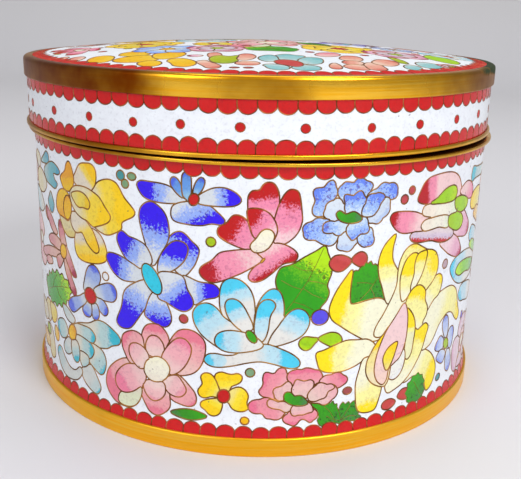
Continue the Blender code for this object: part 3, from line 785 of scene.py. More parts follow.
# %% Great yellow rose, right
great_rose = flower(
    33, 26,
    notched(GREEN, 19.7,33, 19.6,36, 19.8,40, 20.6,40.5, 21.1,40.2, 21.9,41.3, 22.4,41, 22.8,42,
        23.4,41.6, 23.9,42.2, 24.4,41.2, 25.1,41.4, 25.9,40.6, 26.4,38.2, 27.4,35.6, 28.3,33.4,
        29,32, 26,31, 22,31.5, grow=-60, grain=0.35),
    petal(LEMON, 19.8,40.7, 18.5,39.2, 16.8,36.7, 15.7,34.3, 15.3,32.2, 16,30.3, 18,28.7, 21,26.6,
        24.6,24.6, 27.5,24.5, 29,29, 28.4,32.6, 26.5,33.7, 23.8,33.6, 21,33.2, 19.8,33.4, 19.6,37,
        grow=165, fade=(0.38, 0.8)),
    petal(LEMON, 29.7,47.2, 27.8,45.9, 26.5,44, 25.9,41.5, 26.2,39, 27.3,36, 28.9,32.2, 30.5,33,
        31.6,36, 31.2,38.8, 30.2,40.3, 29.3,42, 29.2,44.5, grow=95, fade=(0.28, 0.62)),
    petal(LEMON, 13,23, 13.3,21, 14,19.3, 15.5,18.6, 18,18.4, 20.5,18.8, 23,19.8, 25.2,21.3,
        26.5,23, 24.6,24.7, 22,25, 19.5,25.2, 17,24.5, 14.5,23.5, grow=180, fade=(0.33, 0.8)),
    petal(LEMON, 24,20.5, 23,17.8, 22.4,15, 22.5,12.5, 22.9,9.5, 23.7,8.1, 25.8,7.6, 27.6,8,
        28.5,10.3, 29,12.7, 29,16, 27,20, grow=-85, fade=(0.33, 0.95)),
    petal(LEMON, 40.8,18.8, 43.5,17.6, 45.5,15.8, 47,13.3, 47.2,11, 46,8.6, 44,7.8, 43.3,9.5,
        42.5,11.5, 40.5,12.8, 38.2,13, 35.5,12.3, 34,14, 36,18, grow=-30, fade=(0.28, 0.8)),
    petal(LEMON, 42.3,29.4, 44.5,30.7, 47,31.3, 50,31.5, 52.5,30.9, 54.7,29.3, 55.8,27, 57,24.6,
        58.4,22.3, 57.3,21.3, 55.5,22.3, 53.5,24.2, 51.5,25, 49.7,24.8, 47,23.2, 45.2,20.7,
        43.6,19.2, 40.9,18.7, 38.5,21, 39,26, grow=-15, fade=(0.28, 0.95)),
    petal(LEMON, 38,32, 42,34.3, 43.5,35.5, 45,35.7, 46.2,34.9, 46.4,33.2, 45.5,31, 43.5,30, 40,27,
        37,29, grow=50, fade=(0.38, 0.95)),
    petal(LEMON, 31.2,39, 31.5,41, 32.5,43, 34,44.1, 35.8,44.2, 37.7,43.3, 39.5,42.4, 41.5,41.9,
        43,40.9, 44,38.7, 43.8,36.5, 42,34.3, 38,32, 34.5,32, 32,28.5, 28,25, 26.2,25.3, 26.3,27,
        28.5,30.5, 31,35.5, grow=50, fade=(0.33, 0.95)),
    petal(LEMON, 32,36.5, 32.4,39.2, 33.5,41.4, 35.2,42.3, 36.6,41.8, 36,40, 36,37.5, 35,33.5,
        33,32, grow=85, fade=(0.13, 0.6)),
    petal(LEMON, 36.7,41.8, 38,42.2, 39.5,42.1, 39.2,39.5, 38.3,37, 36.8,34.8, 35.6,33.3, 35.3,35,
        36,37.5, 36,40, grow=90, fade=(0.38, 0.8)),
    petal(LEMON, 34.3,31.7, 35.5,33.8, 37,34.6, 38.6,34.4, 40.2,32.8, 40.3,30.8, 41.4,28.8, 41.2,27,
        40.2,25.7, 40.2,24, 37.5,22, 35.5,26, 34.6,29.5, grow=75, fade=(0.13, 0.85)),
    petal(LEMON, 37.5,24.8, 38.7,24, 39.8,24.5, 41.3,25, 42.4,24, 41.8,22, 40.8,19, 39.3,16.5,
        37,13.8, 35,12.3, 32.5,11.3, 30.9,11, 30.1,12.5, 30.4,14.5, 33,17, 36,20, grow=70,
        fade=(0.28, 0.85)),
    petal(STRAW_PALE, 34.6,30, 36.8,27.8, 37.7,25, 37.5,22, 37.1,19, 36,17.8, 35,19.2, 35.1,22,
        34.6,26, grow=80, fade=(0.5, 0.65)),
    petal(PEARL, 30.4,16.2, 31,14.5, 32.3,13.9, 33.9,14.7, 34.9,16.5, 35.2,19, 34.6,20.5, 33,18.7,
        31.3,17, grow=-60),
    petal(LEMON_EDGE, 30.2,26.9, 28.5,25.2, 27,23.6, 25.7,21.5, 24.8,19.5, 24.8,17, 26,14.8,
        28,13.4, 30,13, 31,16, 31,22, grow=100, fade=(0.28, 0.75)),
    petal(BLUSH_CREAM, 33.7,31.4, 31.5,28.7, 29.4,26, 28,23, 27.1,20, 26.9,17, 27.7,14.7, 29.3,13.4,
        30.2,14.5, 30.6,16.8, 32,17.9, 33.5,18.9, 34.6,21.2, 35.1,24, 35,28, 34.4,30.4, grow=-100),
    petal(BUTTER, 31.2,22.4, 32.6,22.7, 32.2,20.8, 31.6,19, 30.9,17.5, 30.1,16.6, 29.3,18, 29,19.7,
        29.8,21.4, grow=90),
    notched(GREEN, 36.4,9.3, 37.2,10.4, 36.9,11.5, 38,11.9, 38.4,13, 39.4,12.7, 40.3,13.3, 41,12.4,
        42,12.3, 42.1,11.2, 43.1,10.5, 42.7,9.4, 43.4,8.2, 42.4,7.2, 42,6.2, 40.5,6.5, 39,6, 38,6.6,
        36.9,7.2, 37.1,8.3, grow=-60, grain=0.35, wire=FINE_WIRE),
    veins=(
        (25.9,38.3, 24,35.8, 22,34), (25,37, 23.2,37.6, 21,37.8), (24.4,36.2, 25.3,34.8, 25.4,33.4),
        (42,7.2, 40.6,9.2, 39,11.5),
    ),
)
print("cells in the great rose:", len(great_rose.cells))

# %% Pink and green orchid
orchid = flower(
    44.5, 49.5,
    petal(PINK_TO_RED, 35.1,53.8, 36,56, 37,57.4, 38.7,58.2, 41.5,58.5, 44.8,58.5, 47.5,58,
        49.7,56.8, 51,55, 51.6,53.2, 48,52, 42,52.2, 38.5,52.6, 36.4,53, grow=180,
        fade=(0.6, 0.85)),
    petal(PINK_TO_RED, 51,53.4, 52.8,54.6, 54.8,55.1, 57,54.6, 59,53.3, 59.5,51.5, 58,50.7, 54,51.8,
        grow=-25, fade=(0.3, 1.2)),
    petal(PINK_TO_RED, 28,50.6, 28.6,51.7, 31,51.8, 34.5,51.3, 37,50.4, 39.5,49.6, 40,48, 38.5,47,
        35.5,47.1, 31.5,47.3, 29.5,48.4, grow=180, fade=(0.3, 0.93)),
    petal(MAUVE, 54,48.6, 56.5,46.8, 58.6,44.6, 58.6,42.8, 56.5,42.2, 53.5,42.7, 50.5,43.4, 48,44.6,
        46,46.3, 50,48.5, grow=-30, fade=(0.3, 1)),
    petal(MAUVE, 44,42.9, 46,43.9, 48.7,44.2, 52,42.6, 53.6,41, 54.8,39, 54,38, 51.5,38.4,
        48.5,39.6, 46,41.2, grow=-35, fade=(0.3, 0.96)),
    petal(LILAC, 33.7,46.2, 34.5,46.9, 37,46.7, 42.3,47, 46,46.3, 49,45, 49.5,43.9, 46.5,43.1,
        43.5,43.4, 40.5,44.3, 36,44.6, 34.3,45.2, grow=-100, fade=(0.3, 0.88), grain=0.15),
    petal(CREAM_PASTE, 37,50.5, 37.1,51.9, 38.5,52.4, 42,52.1, 46,51.9, 50.5,51.8, 51,50, 48.5,48.6,
        44,49, 40,49.6, grow=0),
    petal(CREAM_PASTE, 36.8,48, 37.8,49, 40,49.2, 43.5,49.2, 46.3,48.7, 47.5,47.4, 46.3,46.2,
        43,46.9, 40,46.8, 37.8,46.9, grow=0),
    petal(LIME, 39.3,52.6, 41.5,53.4, 44,54.8, 46.5,55.3, 48.5,55, 49.4,53.6, 48.6,52.2, 46,51.9,
        42,52.2, grow=0),
    petal(LIME, 49,52, 51.3,52.3, 54,51.8, 56.2,50.5, 55.6,49.2, 53,48.6, 50.5,49.2, 49.2,50.4,
        grow=0),
    petal(LIME, 46.8,48.5, 49,48.8, 52,48.4, 54,46.8, 53.6,45.2, 51.5,44.6, 49,45.3, 46.9,46.6,
        grow=0),
)
print("cells in the orchid:", len(orchid.cells))

# %% Forget-me-not and its neighbours at the right edge
forget_me_not = flower(
    51.6, 17,
    petal(PERIWINKLE, 50.9,18.6, 49.2,21.3, 48.9,23.2, 50,24.4, 51.2,23.8, 51.9,21.8, 51.9,19.2),
    petal(PERIWINKLE, 52.2,18.6, 53,20.2, 54.8,20.3, 55.8,18.8, 55.6,16.6, 54.9,15, 53.4,15.4,
        53,17),
    petal(PERIWINKLE, 50.2,18.3, 48.4,19.8, 47,18.8, 46.3,17.3, 47.8,16.3, 50,16.3),
    petal(PERIWINKLE, 50.8,15.6, 48.8,16, 47.3,14.6, 48.3,13.5, 50,12.5, 51,12.7, 51.8,14.6),
    petal(PERIWINKLE, 52.6,15, 52.2,12.2, 52.8,10, 54.4,9, 55.6,10.2, 55.3,12.5, 54.2,14.6),
    oval(LIME_GLASS, 51.6, 17, 1.7, 1.2, -50),
)
blue_lily = flower(
    60, 35,
    petal(TURQUOISE, 49.8,35.8, 51,37.3, 54,38, 59,38.1, 65,36.8, 71,34.5, 70,31, 64,30, 57.5,30.4,
        54,31.5, 51.5,33.3, grow=180, fade=(0.48, 0.95)),
    petal(TURQUOISE, 60.3,41.5, 62,43.2, 66,42.2, 71,40.2, 76,37.5, 74,35.8, 67,37.5, 61.8,39.5,
        grow=170, fade=(0.28, 1)),
    petal(TURQUOISE, 56.4,27.8, 57.5,29.4, 61,29.5, 67,28, 72,25.5, 68,23.5, 61.5,24.9, 58,25.8,
        grow=200, fade=(0.28, 1)),
    petal(LEAF, 53,34.3, 54.5,35.6, 58,35.8, 63,35, 69,33, 66,31.5, 60,32.6, 55.5,32.8, grow=180),
    petal(LEAF, 61.5,38.8, 64,39.4, 69,37.7, 74,35.2, 71,34.7, 65,36.7, grow=180),
    oval(AMBER, 72, 30, 2.2, 2.6),
)
edge_rose = flower(
    67, 48,
    petal(BUTTER, 58.5,49.5, 60,51.5, 64,52.2, 69,51.5, 73,50, 70,46, 64,47.2, 60,47.8, grow=180),
    petal(AMBER_PASTE, 62.5,46, 65,47.4, 70,46.3, 75,44.5, 73,42, 67,43.6, grow=200),
    petal(SALMON, 69,52, 71,54.5, 75,54.5, 78,51, 74,48.5, 70.5,49.5, grow=60),
    petal(SALMON, 73,49, 77,51, 80.5,48.5, 79,45, 75,44.5, grow=0),
    oval(LIME_GLASS, 72.5, 48.3, 1.8, 1.5),
)
teal_ribbon = flower(
    66, 56.5,
    petal(SEA_WITH_PAINTED_SHADE, 57.2,56, 58,57.8, 61,57.4, 66,57, 72,56.5, 75,54.8, 70,54.4, 64,54.8, 60,54.9,
        58,54.5, grow=180),
)
edge_pink = flower(
    66, 14,
    petal(FADED_LILAC, 56.3,13.5, 57,15.5, 59.3,16, 62.5,14.5, 63,11.5, 61.5,8.5, 60,6.9, 58,7.6,
        56.8,10.3, grow=200),
    petal(FADED_LILAC, 61,7.5, 63.5,9.5, 66.5,9.6, 68.5,7.8, 67.5,6.8, 64,6.8, grow=-90),
    petal(FADED_LILAC, 60,16.5, 61,19.5, 64,20.5, 67,19.5, 67,16.5, 64.5,14.2, grow=110),
    petal(FADED_LILAC, 66.5,17.2, 69,19.5, 72,18, 73,15, 70,13.3, 67,13.8, grow=10),
    petal(FADED_LILAC, 66.5,12.5, 70,13, 73,11, 72.5,8.2, 69.5,7.2, 67,9, grow=-40),
    petal(BLUSH, 62.5,13.2, 64.5,16.3, 67.6,15.6, 68,12.2, 65.3,10, 63,10.9, grow=-60),
    oval(CREAM_GLASS, 65.4, 13, 2, 1.6),
)
right_edge = (forget_me_not, blue_lily, edge_rose, teal_ribbon, edge_pink)
print("cells in each:", [len(kind.cells) for kind in right_edge])

# %% Flowers at the left edge
slender_pink = flower(
    -49.2, 37.6,
    petal(DUSK_PINK, -58.8,46, -56.9,45.4, -55,44.3, -53,42.4, -51.9,41.1, -53.3,40.6, -55.4,41.4,
        -57.3,43.1, -58.7,44.4, grow=140, fade=(0, 1)),
    petal(DUSK_PINK, -57.8,38.8, -54.9,40.2, -51.9,40.1, -50.1,39.2, -49.5,37.9, -51.7,37.3,
        -54.6,37.6, -57,37.8, grow=170, fade=(0.2, 1.5)),
    petal(DUSK_PINK, -65.3,33.6, -59,36.2, -54.2,37, -50.4,36.8, -52.4,35.4, -56.2,34.6, -61.4,33.2,
        grow=190, fade=(0.2, 1.5)),
    petal(DUSK_PINK, -61,32.8, -58.5,34, -56,33.9, -55.8,33, -57.5,32.3, -60,31.9, grow=190,
        fade=(0.2, 1.5)),
    petal(DUSK_PINK, -53,35.1, -50.7,36.4, -49.4,35.8, -50.3,34.2, -51.8,32.9, -52.5,33.8,
        grow=-110, fade=(0.2, 1.2)),
    petal(DUSK_PINK, -48.9,36, -47.5,35.4, -46,32.5, -44.2,29.6, -44.4,28.2, -45.8,28.8, -47.5,31.5,
        -48.7,33.8, grow=-60, fade=(0.2, 0.85)),
    petal(DUSK_PINK, -50.5,44.5, -49,43.5, -48,40.6, -47.5,38.7, -48.6,38.2, -49.8,38.9, -50.8,41,
        -51.1,43.2, grow=105, fade=(0.2, 0.9)),
    petal(DUSK_PINK, -48,39.2, -46.4,37.4, -44.9,35.1, -43.8,33, -45.2,32.8, -46.8,34.4, -48.2,36.4,
        -48.7,38, grow=-60, fade=(0.2, 0.9)),
    oval(AMBER, -49.2, 37.5, 1.8, 1.5, 70),
)
left_leaf = flower(
    -55, 27,
    notched(SPRING_LEAF, -62.5,26.5, -61.6,28.4, -60,28.2, -59.2,30, -57.6,29.6, -56.4,31.2,
        -54.8,30.6, -53.4,32, -51.8,31, -50.4,31.9, -49.4,30.8, -47.6,31, -47.4,29.6, -46,28.8,
        -47.2,27.8, -47,26.4, -48.6,26.2, -49,24.8, -50.6,25, -51.4,23.4, -53,24, -54.4,22.6,
        -56,23.4, -58,22.4, -59.2,23.6, -61,23.2, -61.4,25, grow=25, fade=(0.45, 0.85), grain=0.3),
    veins=(
        (-60,25.3, -56,27, -51,28.6, -47.5,29.3), (-56.5,26.8, -55.5,29, -53.5,30.8),
        (-54,27.6, -52.7,26, -51,25.3), (-51.5,28.4, -50.5,30, -49,31),
    ),
)
left_beads = flower(
    -55, 50,
    petal(TEAL_WITH_PAINTED_SHADE, -61.5,55.9, -59,57.5, -57,58.7, -55.4,58.2, -55.4,56.6, -58,56, grow=30),
    petal(TEAL_WITH_PAINTED_SHADE, -59,54.3, -56.5,56, -53.5,57, -51,56.6, -49.3,55.5, -50.3,54.8, -52.8,54.6,
        -52,53.2, -50.8,52.6, -52,51.4, -54.5,51.6, -57.5,52.3, grow=0),
    petal(TEAL_WITH_PAINTED_SHADE, -55,50, -53.8,48.7, -53.2,47.2, -54.5,45.3, -56,46, -56.9,47.5, -56,48.8, grow=-90),
    petal(SALMON, -59.5,45.2, -58.3,45.9, -57,44.7, -57.4,42.9, -59,43.6, grow=-60),
    petal(STRAW, -66.5,52.8, -63,54, -59.5,53.2, -57.5,51.2, -60,49, -64,48.6, -67,50, grow=180),
    petal(STRAW, -69,56.5, -66,57.6, -62.5,56.6, -62.5,54.6, -66,54.2, grow=120),
    petal(SALMON, -74,54, -71,55.5, -67.8,54, -67.5,50.8, -70.5,49.5, -74,50.5, grow=180),
    petal(SEA_WITH_PAINTED_SHADE, -71,47.8, -67,48.8, -62.5,47.5, -60.5,45.2, -64,43.5, -69,44.3, grow=200),
    petal(CAMELLIA, -72,41.5, -68,42.8, -64,41.5, -62,38.8, -65.5,36.8, -70.5,37.8, grow=180),
    petal(CAMELLIA, -71,35.8, -67,36.3, -63.5,34.8, -61,32.4, -63.5,30.2, -68,30.5, -72,32.8,
        grow=200),
    oval(CREAM_GLASS, -66, 36.6, 2.2, 1.5, 10),
)
orange_petals = flower(
    -61, 15,
    petal(STRAW, -64,20.8, -62,22.2, -60,22.3, -58.5,21.2, -58.6,19, -60.6,16.8, -63,17.2, -63.9,19,
        grow=90),
    petal(STRAW_GOLD, -59.7,21.7, -57.6,22.5, -55.4,21.9, -54.7,20.1, -56.3,18, -58.3,17.8,
        -59,19.5, grow=-60, fade=(0.2, 1)),
    petal(AMBER_PASTE, -56.5,16.9, -55.3,17.2, -54.1,16, -54.3,14.2, -55.6,13.7, -56.8,15.1,
        grow=0),
    petal(STRAW, -64.4,14, -61.6,15.9, -58.8,15, -57.6,12.2, -57.3,9, -59.3,7.8, -61.5,8.6,
        -63.4,10.8, grow=-60, fade=(0.3, 1.1)),
    petal(AMBER_PASTE, -70,11.5, -66.5,12.8, -63,12, -62,10, -65,8.8, -69,9.2, grow=180),
    petal(STRAW, -70.5,19.8, -67,20.6, -63,19.8, -62,17.4, -65,15.8, -69,16.2, grow=150),
    oval(LIME_GLASS, -62.3, 14.2, 1.8, 1.5),
    oval(MAUVE_GLASS, -72.5, 24.8, 1),
)
left_edge = (slender_pink, left_leaf, left_beads, orange_petals)
print("cells in each:", [len(kind.cells) for kind in left_edge])


# %% Planting the front
FRONT = (
    left_beads, orange_petals, left_leaf, slender_pink, turquoise_aster, yellow_rose, cobalt_star,
    cobalt_fan, small_blue, pink_camellia, red_magnolia, big_leaf, beads, water_lily, blue_peony,
    buttercup, ragged_leaf, pink_peony, great_rose, orchid, forget_me_not, blue_lily, edge_rose,
    teal_ribbon, edge_pink,
)
for kind in FRONT:
    plant(wall, kind)
print(len(wall.cells), "cells on the wall so far")

# %% [markdown]
# ## The lid's flowers and the unseen side
# The lid carries the same garden, seen almost edge on in the photograph, so its front row is
# drawn from what shows and the rest is planted from the flowers already drawn. The back of
# the cup repeats the front's flowers half way round, turned and in each other's pastes, with
# simple rosettes in the gaps, as a maker reuses a bent wire pattern.

# %% A rosette by formula


PETAL_SHAPE = (
    (0.2, -0.35), (0.62, -1.0), (0.9, -0.62), (1.0, 0.0), (0.9, 0.62), (0.62, 1.0), (0.2, 0.35),
)


def rosette(count, reach, paste, heart, wide=0.5, doubled=None):
    """Equal petals round a heart, drawn about 0, 0. doubled is the paste of an inner row."""
    cells = []
    rows = [(1.0, paste)] + ([(0.66, doubled)] if doubled else [])
    for share, glass in rows:
        for k in range(count):
            turn = Matrix.Rotation(math.radians(90 + 360 * k / count), 2)
            long, half = reach * share, wide * reach * share
            shape = [turn @ Vector((long * along, half * across)) for along, across in PETAL_SHAPE]
            numbers = [v for p in shape for v in p]
            cells.append(petal(glass, *numbers, fade=(0.2, 0.95)))
    cells.append(oval(heart, 0, 0, 0.22 * reach))
    return flower(0, 0, *cells)


star = rosette(5, 8.0, TURQUOISE, RED_GLASS)
daisy = rosette(7, 7.5, PEONY_BLUE, AMBER, wide=0.36)
pink_rosette = rosette(6, 9.0, CAMELLIA, CREAM_GLASS, doubled=BLUSH)
gold_rosette = rosette(6, 8.5, CHROME, RED_GLASS, doubled=BUTTER)
violet_rosette = rosette(5, 7.0, MAUVE, LIME_GLASS, doubled=LILAC)
leaflet = flower(
    0, 0,
    petal(GREEN, -5,0, -2.5,2.2, 0.5,2.8, 3.5,1.6, 5.2,0, 3.2,-1.8, 0.2,-2.6, -2.8,-1.9, grow=0),
    veins=((-4.6,0, 0,0.3, 4.6,0), (-1.5,0.2, 0.5,1.8), (-0.5,0.2, 1.8,-1.6), (1.5,0.2, 3,1.3)),
)
lime_leaflet = flower(
    0, 0,
    petal(LIME, -5,0, -2.5,2, 0.5,2.4, 3.5,1.4, 5.2,0, 3.2,-1.6, 0.2,-2.2, -2.8,-1.7, grow=0),
)
print("petals in the pink rosette:", len(pink_rosette.cells) - 1)

# %% The lid's front row
dome_yellow = flower(
    -22, -36,
    petal(CHROME, -34.6,-32, -32.6,-31.2, -30.8,-33, -30.2,-36.5, -30.8,-40, -32.8,-41.2, -34.8,-39,
        -35.4,-35.5, grow=180),
    petal(CHROME, -29.5,-28, -27.5,-26.3, -25,-27, -23.4,-29.5, -24,-33, -27,-34, -29.6,-32,
        grow=100),
    petal(CHROME, -29.8,-38.5, -28.3,-35.2, -25,-33.2, -22,-34, -20.5,-37.5, -21.3,-41, -25,-42.4,
        -28.5,-41.4, grow=200),
    petal(AMBER_PASTE, -22,-31, -19.5,-28.6, -16.8,-29.3, -15.6,-33, -17,-37.5, -19.8,-39.4,
        -22,-36, grow=60),
    petal(CHROME, -24,-43, -22.8,-41.2, -20.6,-41.3, -19.3,-44, -19.9,-47, -21.5,-47.6, -23.5,-45.6,
        grow=-100),
    petal(CHROME, -18,-39.5, -16.2,-38.6, -14,-40.5, -12.6,-43.5, -12.7,-47, -14.3,-48.6,
        -16.3,-47.5, -17.3,-44.5, -18.3,-42, grow=-70),
)
dome_salmon = flower(
    -6, -39,
    petal(SALMON, -39.8,-31.5, -38.2,-30.2, -37,-32, -37.3,-36, -38.6,-38.4, -40,-36),
    petal(SALMON, -42.8,-29.5, -41.5,-28.8, -40.9,-30.5, -41.6,-33, -43,-32.2),
    petal(SALMON, -10.6,-31.5, -9.3,-30.4, -8.2,-32.5, -8,-37, -9,-39, -10.4,-36.5, grow=90),
    petal(SALMON, -12.4,-42.8, -11,-41.4, -9.7,-43.5, -8.4,-45.5, -7.4,-48, -8.2,-50.3, -9.8,-49.8,
        -10.8,-47.5, -11.8,-45.2, grow=-80),
    petal(MAUVE, -14.8,-34.8, -13,-34, -11.8,-35.2, -12.6,-36.6, -14.2,-36.4, grow=180),
    petal(LIME, -9.6,-36.3, -8.2,-35, -6.4,-36.2, -4.4,-34.8, -4.7,-38, -4.3,-41.5, -5.6,-44.6,
        -7.6,-45, -9.2,-43.2, -10,-40, grow=-60),
    petal(SALMON, -4,-33.5, -2.8,-32, -1.5,-33, -0.8,-36, -1.5,-39.5, -3.4,-41.2, -4.4,-39.5,
        -4.2,-36, grow=90),
    petal(SALMON, -4.4,-43.4, -3,-42.3, -0.8,-42.5, 0.1,-44.2, -0.6,-46.2, -2.8,-46.6, -4.4,-45.6,
        grow=-90),
    oval(MAROON, -4.7, -49.3, 0.95, 0.8), oval(MAROON, -2, -49.2, 0.95, 0.85),
    petal(SALMON, 15.2,-40.6, 16,-42.5, 16.3,-45.3, 15.6,-47.4, 14.4,-47.2, 14,-44.5, 14.4,-42,
        grow=-90),
)
dome_star = flower(
    5.8, -42.3,
    petal(TURQUOISE, 3.9,-33, 5.6,-31.2, 7.4,-32.3, 9.2,-33, 9.4,-36, 8.2,-39.5, 5.5,-40.3, 3.6,-38,
        3.2,-35.3),
    petal(TURQUOISE, 8.8,-36.5, 10.2,-34.5, 12.4,-35.2, 13,-38.5, 12.2,-42.3, 10,-44, 8.4,-42.2,
        8,-39),
    petal(TURQUOISE, 8,-44.7, 10,-44.6, 11.8,-46, 11.7,-49, 9.8,-50.3, 7.6,-50, 6.4,-48, 7,-46),
    petal(TURQUOISE, 0.9,-46, 2.2,-44.8, 4.4,-45.4, 5.8,-47.2, 5.6,-49.6, 3.9,-50.8, 2,-49.6,
        1.4,-47.8),
    petal(TURQUOISE, 0.5,-35.2, 2,-33.2, 3.4,-34.8, 3.8,-38, 3.6,-41, 2,-42.3, 0.4,-40.5,
        -0.1,-37.8),
    petal(RED, 3.2,-41.2, 4.8,-39.3, 7,-39.9, 8.4,-42, 8.6,-45, 7.4,-46.8, 5.6,-45.8, 3.8,-44.5),
)
dome_cluster = flower(
    21, -39,
    petal(SALMON, 17,-33, 18.2,-29.5, 20.6,-29, 21.7,-32, 21,-35.6, 18.6,-36.8, 17.1,-35.5),
    petal(SALMON, 17,-39, 18,-36.6, 20.4,-36.3, 21.4,-38.6, 20.3,-41, 18,-41.3),
    petal(SALMON, 16.9,-43.6, 18,-41.4, 20.4,-41.2, 21.9,-43.4, 21.2,-46.4, 18.8,-46.8, 17.4,-45.6),
    petal(SALMON, 21.4,-39.4, 22.6,-37.2, 24.6,-37.9, 25,-41, 25.4,-44, 24,-46.2, 22,-45.3,
        21.4,-42.5),
    petal(SALMON, 23.8,-34.6, 25.4,-31.4, 27.8,-31.2, 29,-34, 28.5,-37.3, 26.6,-39.8, 24.4,-39,
        23.4,-37),
    petal(LEAF, 28.2,-25.5, 29.4,-26.5, 30.8,-30, 31.2,-34, 30,-34.6, 29,-31.5, grow=-90),
    petal(TURQUOISE, 33.4,-31.2, 35.5,-29.3, 38,-30.2, 38.9,-33, 37.4,-36.3, 35,-37.8, 33.4,-35.6,
        grow=-30),
    petal(TURQUOISE, 29.9,-37.4, 31.4,-35.5, 33,-37.2, 33,-40, 31.4,-42, 29.8,-40.8, grow=-60),
    petal(CAMELLIA, 12,-29.8, 13.4,-26.5, 16,-25.3, 17.4,-27.6, 16.3,-31, 14,-32.6, 12.4,-31.8,
        grow=100),
)
MUTED = {CHROME: SUN, AMBER_PASTE: SUN, TURQUOISE: POND, LIME: OLIVE, LEAF: OLIVE}
for kind in (dome_yellow, dome_salmon, dome_star, dome_cluster):
    plant(dome, kind, pastes=MUTED)
print(len(dome.cells), "cells in the front row")

# %% The rest of the lid
DOME_BED = (
    (gold_rosette, -27.5, -9, 40, 1.1), (daisy, -20.5, -23, 10, 1.05),
    (violet_rosette, -9.5, -22.5, 0, 1), (big_leaf, 3.5, -23, 75, 0.95),
    (gold_rosette, 18.5, -15, 0, 1.1), (violet_rosette, 31, -18.5, 20, 1.1),
    (lime_leaflet, 41.5, -19, 100, 1.5), (star, 45.5, -7, 15, 0.9), (pink_camellia, 2, -5, 30, 1),
    (star, -14, 3.5, 60, 1), (orchid, -42, 14, 70, 0.68), (red_magnolia, -42, -15.5, 60, 0.75),
    (cobalt_star, 22, 5.5, -30, 0.72), (pink_peony, 41, 11, 90, 0.85),
    (water_lily, -18, 22, 160, 0.85), (blue_peony, 6, 21.5, 180, 0.95),
    (great_rose, 25, 31, 150, 0.6), (buttercup, -3, 36.5, 10, 1.15),
    (pink_rosette, -17.5, 41, 0, 0.95), (gold_rosette, -36, 33, 20, 0.95),
    (cobalt_fan, 8, 45, 170, 0.9), (leaflet, -4, 12.5, 20, 1.2), (leaflet, 13, -4, -50, 1.1),
    (gold_rosette, -30, 9.5, 10, 1), (leaflet, 43, 25, 60, 1), (daisy, 33, -3, 0, 0.8),
    (small_blue, -42, 0, 0, 0.6), (buttercup, -11, -11.5, 0, 0.9), (buttercup, -2, 48.5, 0, 0.7),
    (leaflet, -31, 22, 130, 0.8), (leaflet, 10, 33, 150, 0.8), (violet_rosette, 41, -31.5, 0, 0.45),
)
for kind, x, y, turn, size in DOME_BED:
    plant(dome, kind, x, y, turn, size)
DOME_BEADS = (
    (-30, -19), (-3, -15), (11, 11), (-8, 30), (15, 38), (37, -11), (-22, 12), (-49, 6), (50, 3),
    (-11, 50), (33, 20), (23, -26), (-35, -23), (-36, -3), (11, -26), (26, -7), (-9, -2),
)
for x, y in DOME_BEADS:
    plant(dome, flower(x, y, oval(RED_GLASS if x % 2 else LIME_GLASS, x, y, 0.95)))
print(len(dome.cells), "cells on the lid's dome")

# %% The back of the cup
half_way = wall.wrap / 2
BEAD_GLASS = (RED_GLASS, LIME_GLASS, VIOLET, AMBER)
SWAPS = {
    COBALT: TURQUOISE, TURQUOISE: COBALT, CAMELLIA: PEONY_BLUE, BLUSH: PEARL_BLUE,
    CAMELLIA_HEART: PERIWINKLE, PEONY_PINK: CHROME, PEONY_HEART: STRAW, PEONY_BLUE: PEONY_PINK,
    PEARL_BLUE: PEONY_HEART, CHROME: SALMON, DUSK_YELLOW: BLUSH,
}
BACK_BED = (
    (yellow_rose, -52, 46, 15, 1), (cobalt_star, -26, 38, 150, 1), (pink_camellia, -46, 19, 40, 1),
    (red_magnolia, 2, 46, -20, 1), (water_lily, -3, 22, 170, 0.95), (blue_peony, 26, 50, 60, 1),
    (great_rose, 43, 30, 35, 0.85), (pink_peony, 22, 14, 120, 1), (orchid, 66, 50, 160, 0.85),
    (turquoise_aster, 66, 20, 200, 0.9), (small_blue, -24, 14, 60, 1), (big_leaf, 15, 33, 200, 0.9),
    (cobalt_fan, -27, 54.5, 180, 0.8), (leaflet, -68, 34, 70, 1.3), (gold_rosette, -82, 48, 0, 1),
    (star, -78, 18, 30, 1), (pink_rosette, 88, 38, 10, 1), (daisy, 86, 16, 0, 1),
    (leaflet, 76, 34, 40, 1), (violet_rosette, -64, 12, 0, 0.75), (buttercup, -10, 56, 0, 0.55),
    (leaflet, 44, 10, 10, 1), (star, 8, 8.5, 0, 0.35), (leaflet, -90, 32, 120, 1),
    (buttercup, -79, 33.5, 20, 0.8), (buttercup, -96, 12, 40, 0.7),
    (violet_rosette, 101, 33, 0, 0.75), (leaflet, 99, 21, 60, 0.9), (star, 99, 50, 0, 0.55),
)


def behind(u):
    """The same place half way round the cup."""
    around = u + half_way
    return around - wall.wrap if around > half_way else around


for kind, u, z, turn, size in BACK_BED:
    plant(wall, kind, behind(u), z, turn, size, flip=True, pastes=SWAPS)
BACK_BEADS = (
    (-38, 30), (-12, 34), (14, 58), (-40, 57), (36, 8), (55, 8), (78, 56), (-66, 56), (56, 47),
    (-14, 8), (-58, 30), (-92, 8), (95, 57), (30, 26), (75, 8),
)
for number, (u, z) in enumerate(BACK_BEADS):
    around = behind(u)
    plant(wall, flower(around, z, oval(BEAD_GLASS[number % 4], around, z, 1)))
print(len(wall.cells), "cells on the wall")

# %% [markdown]
# ## Scale rows
# A row of red scales runs along each metal ring, as on most boxes of this kind: short
# round-ended tabs side by side. There are as many round the skirt and the dome as round
# the wall, which is how a maker divides a circle once and keeps the division.

# %% Rows of scales
SCALES = 96
SCALE_WIRE = 0.25
ROUND_STEPS = 8  # along a scale's round end
TUCKED = 0.6  # how far a scale starts behind its line
UNEVEN = 0.18  # how much a scale's width and length wander
HALF_TURN = [math.pi * i / ROUND_STEPS for i in range(1, ROUND_STEPS)]


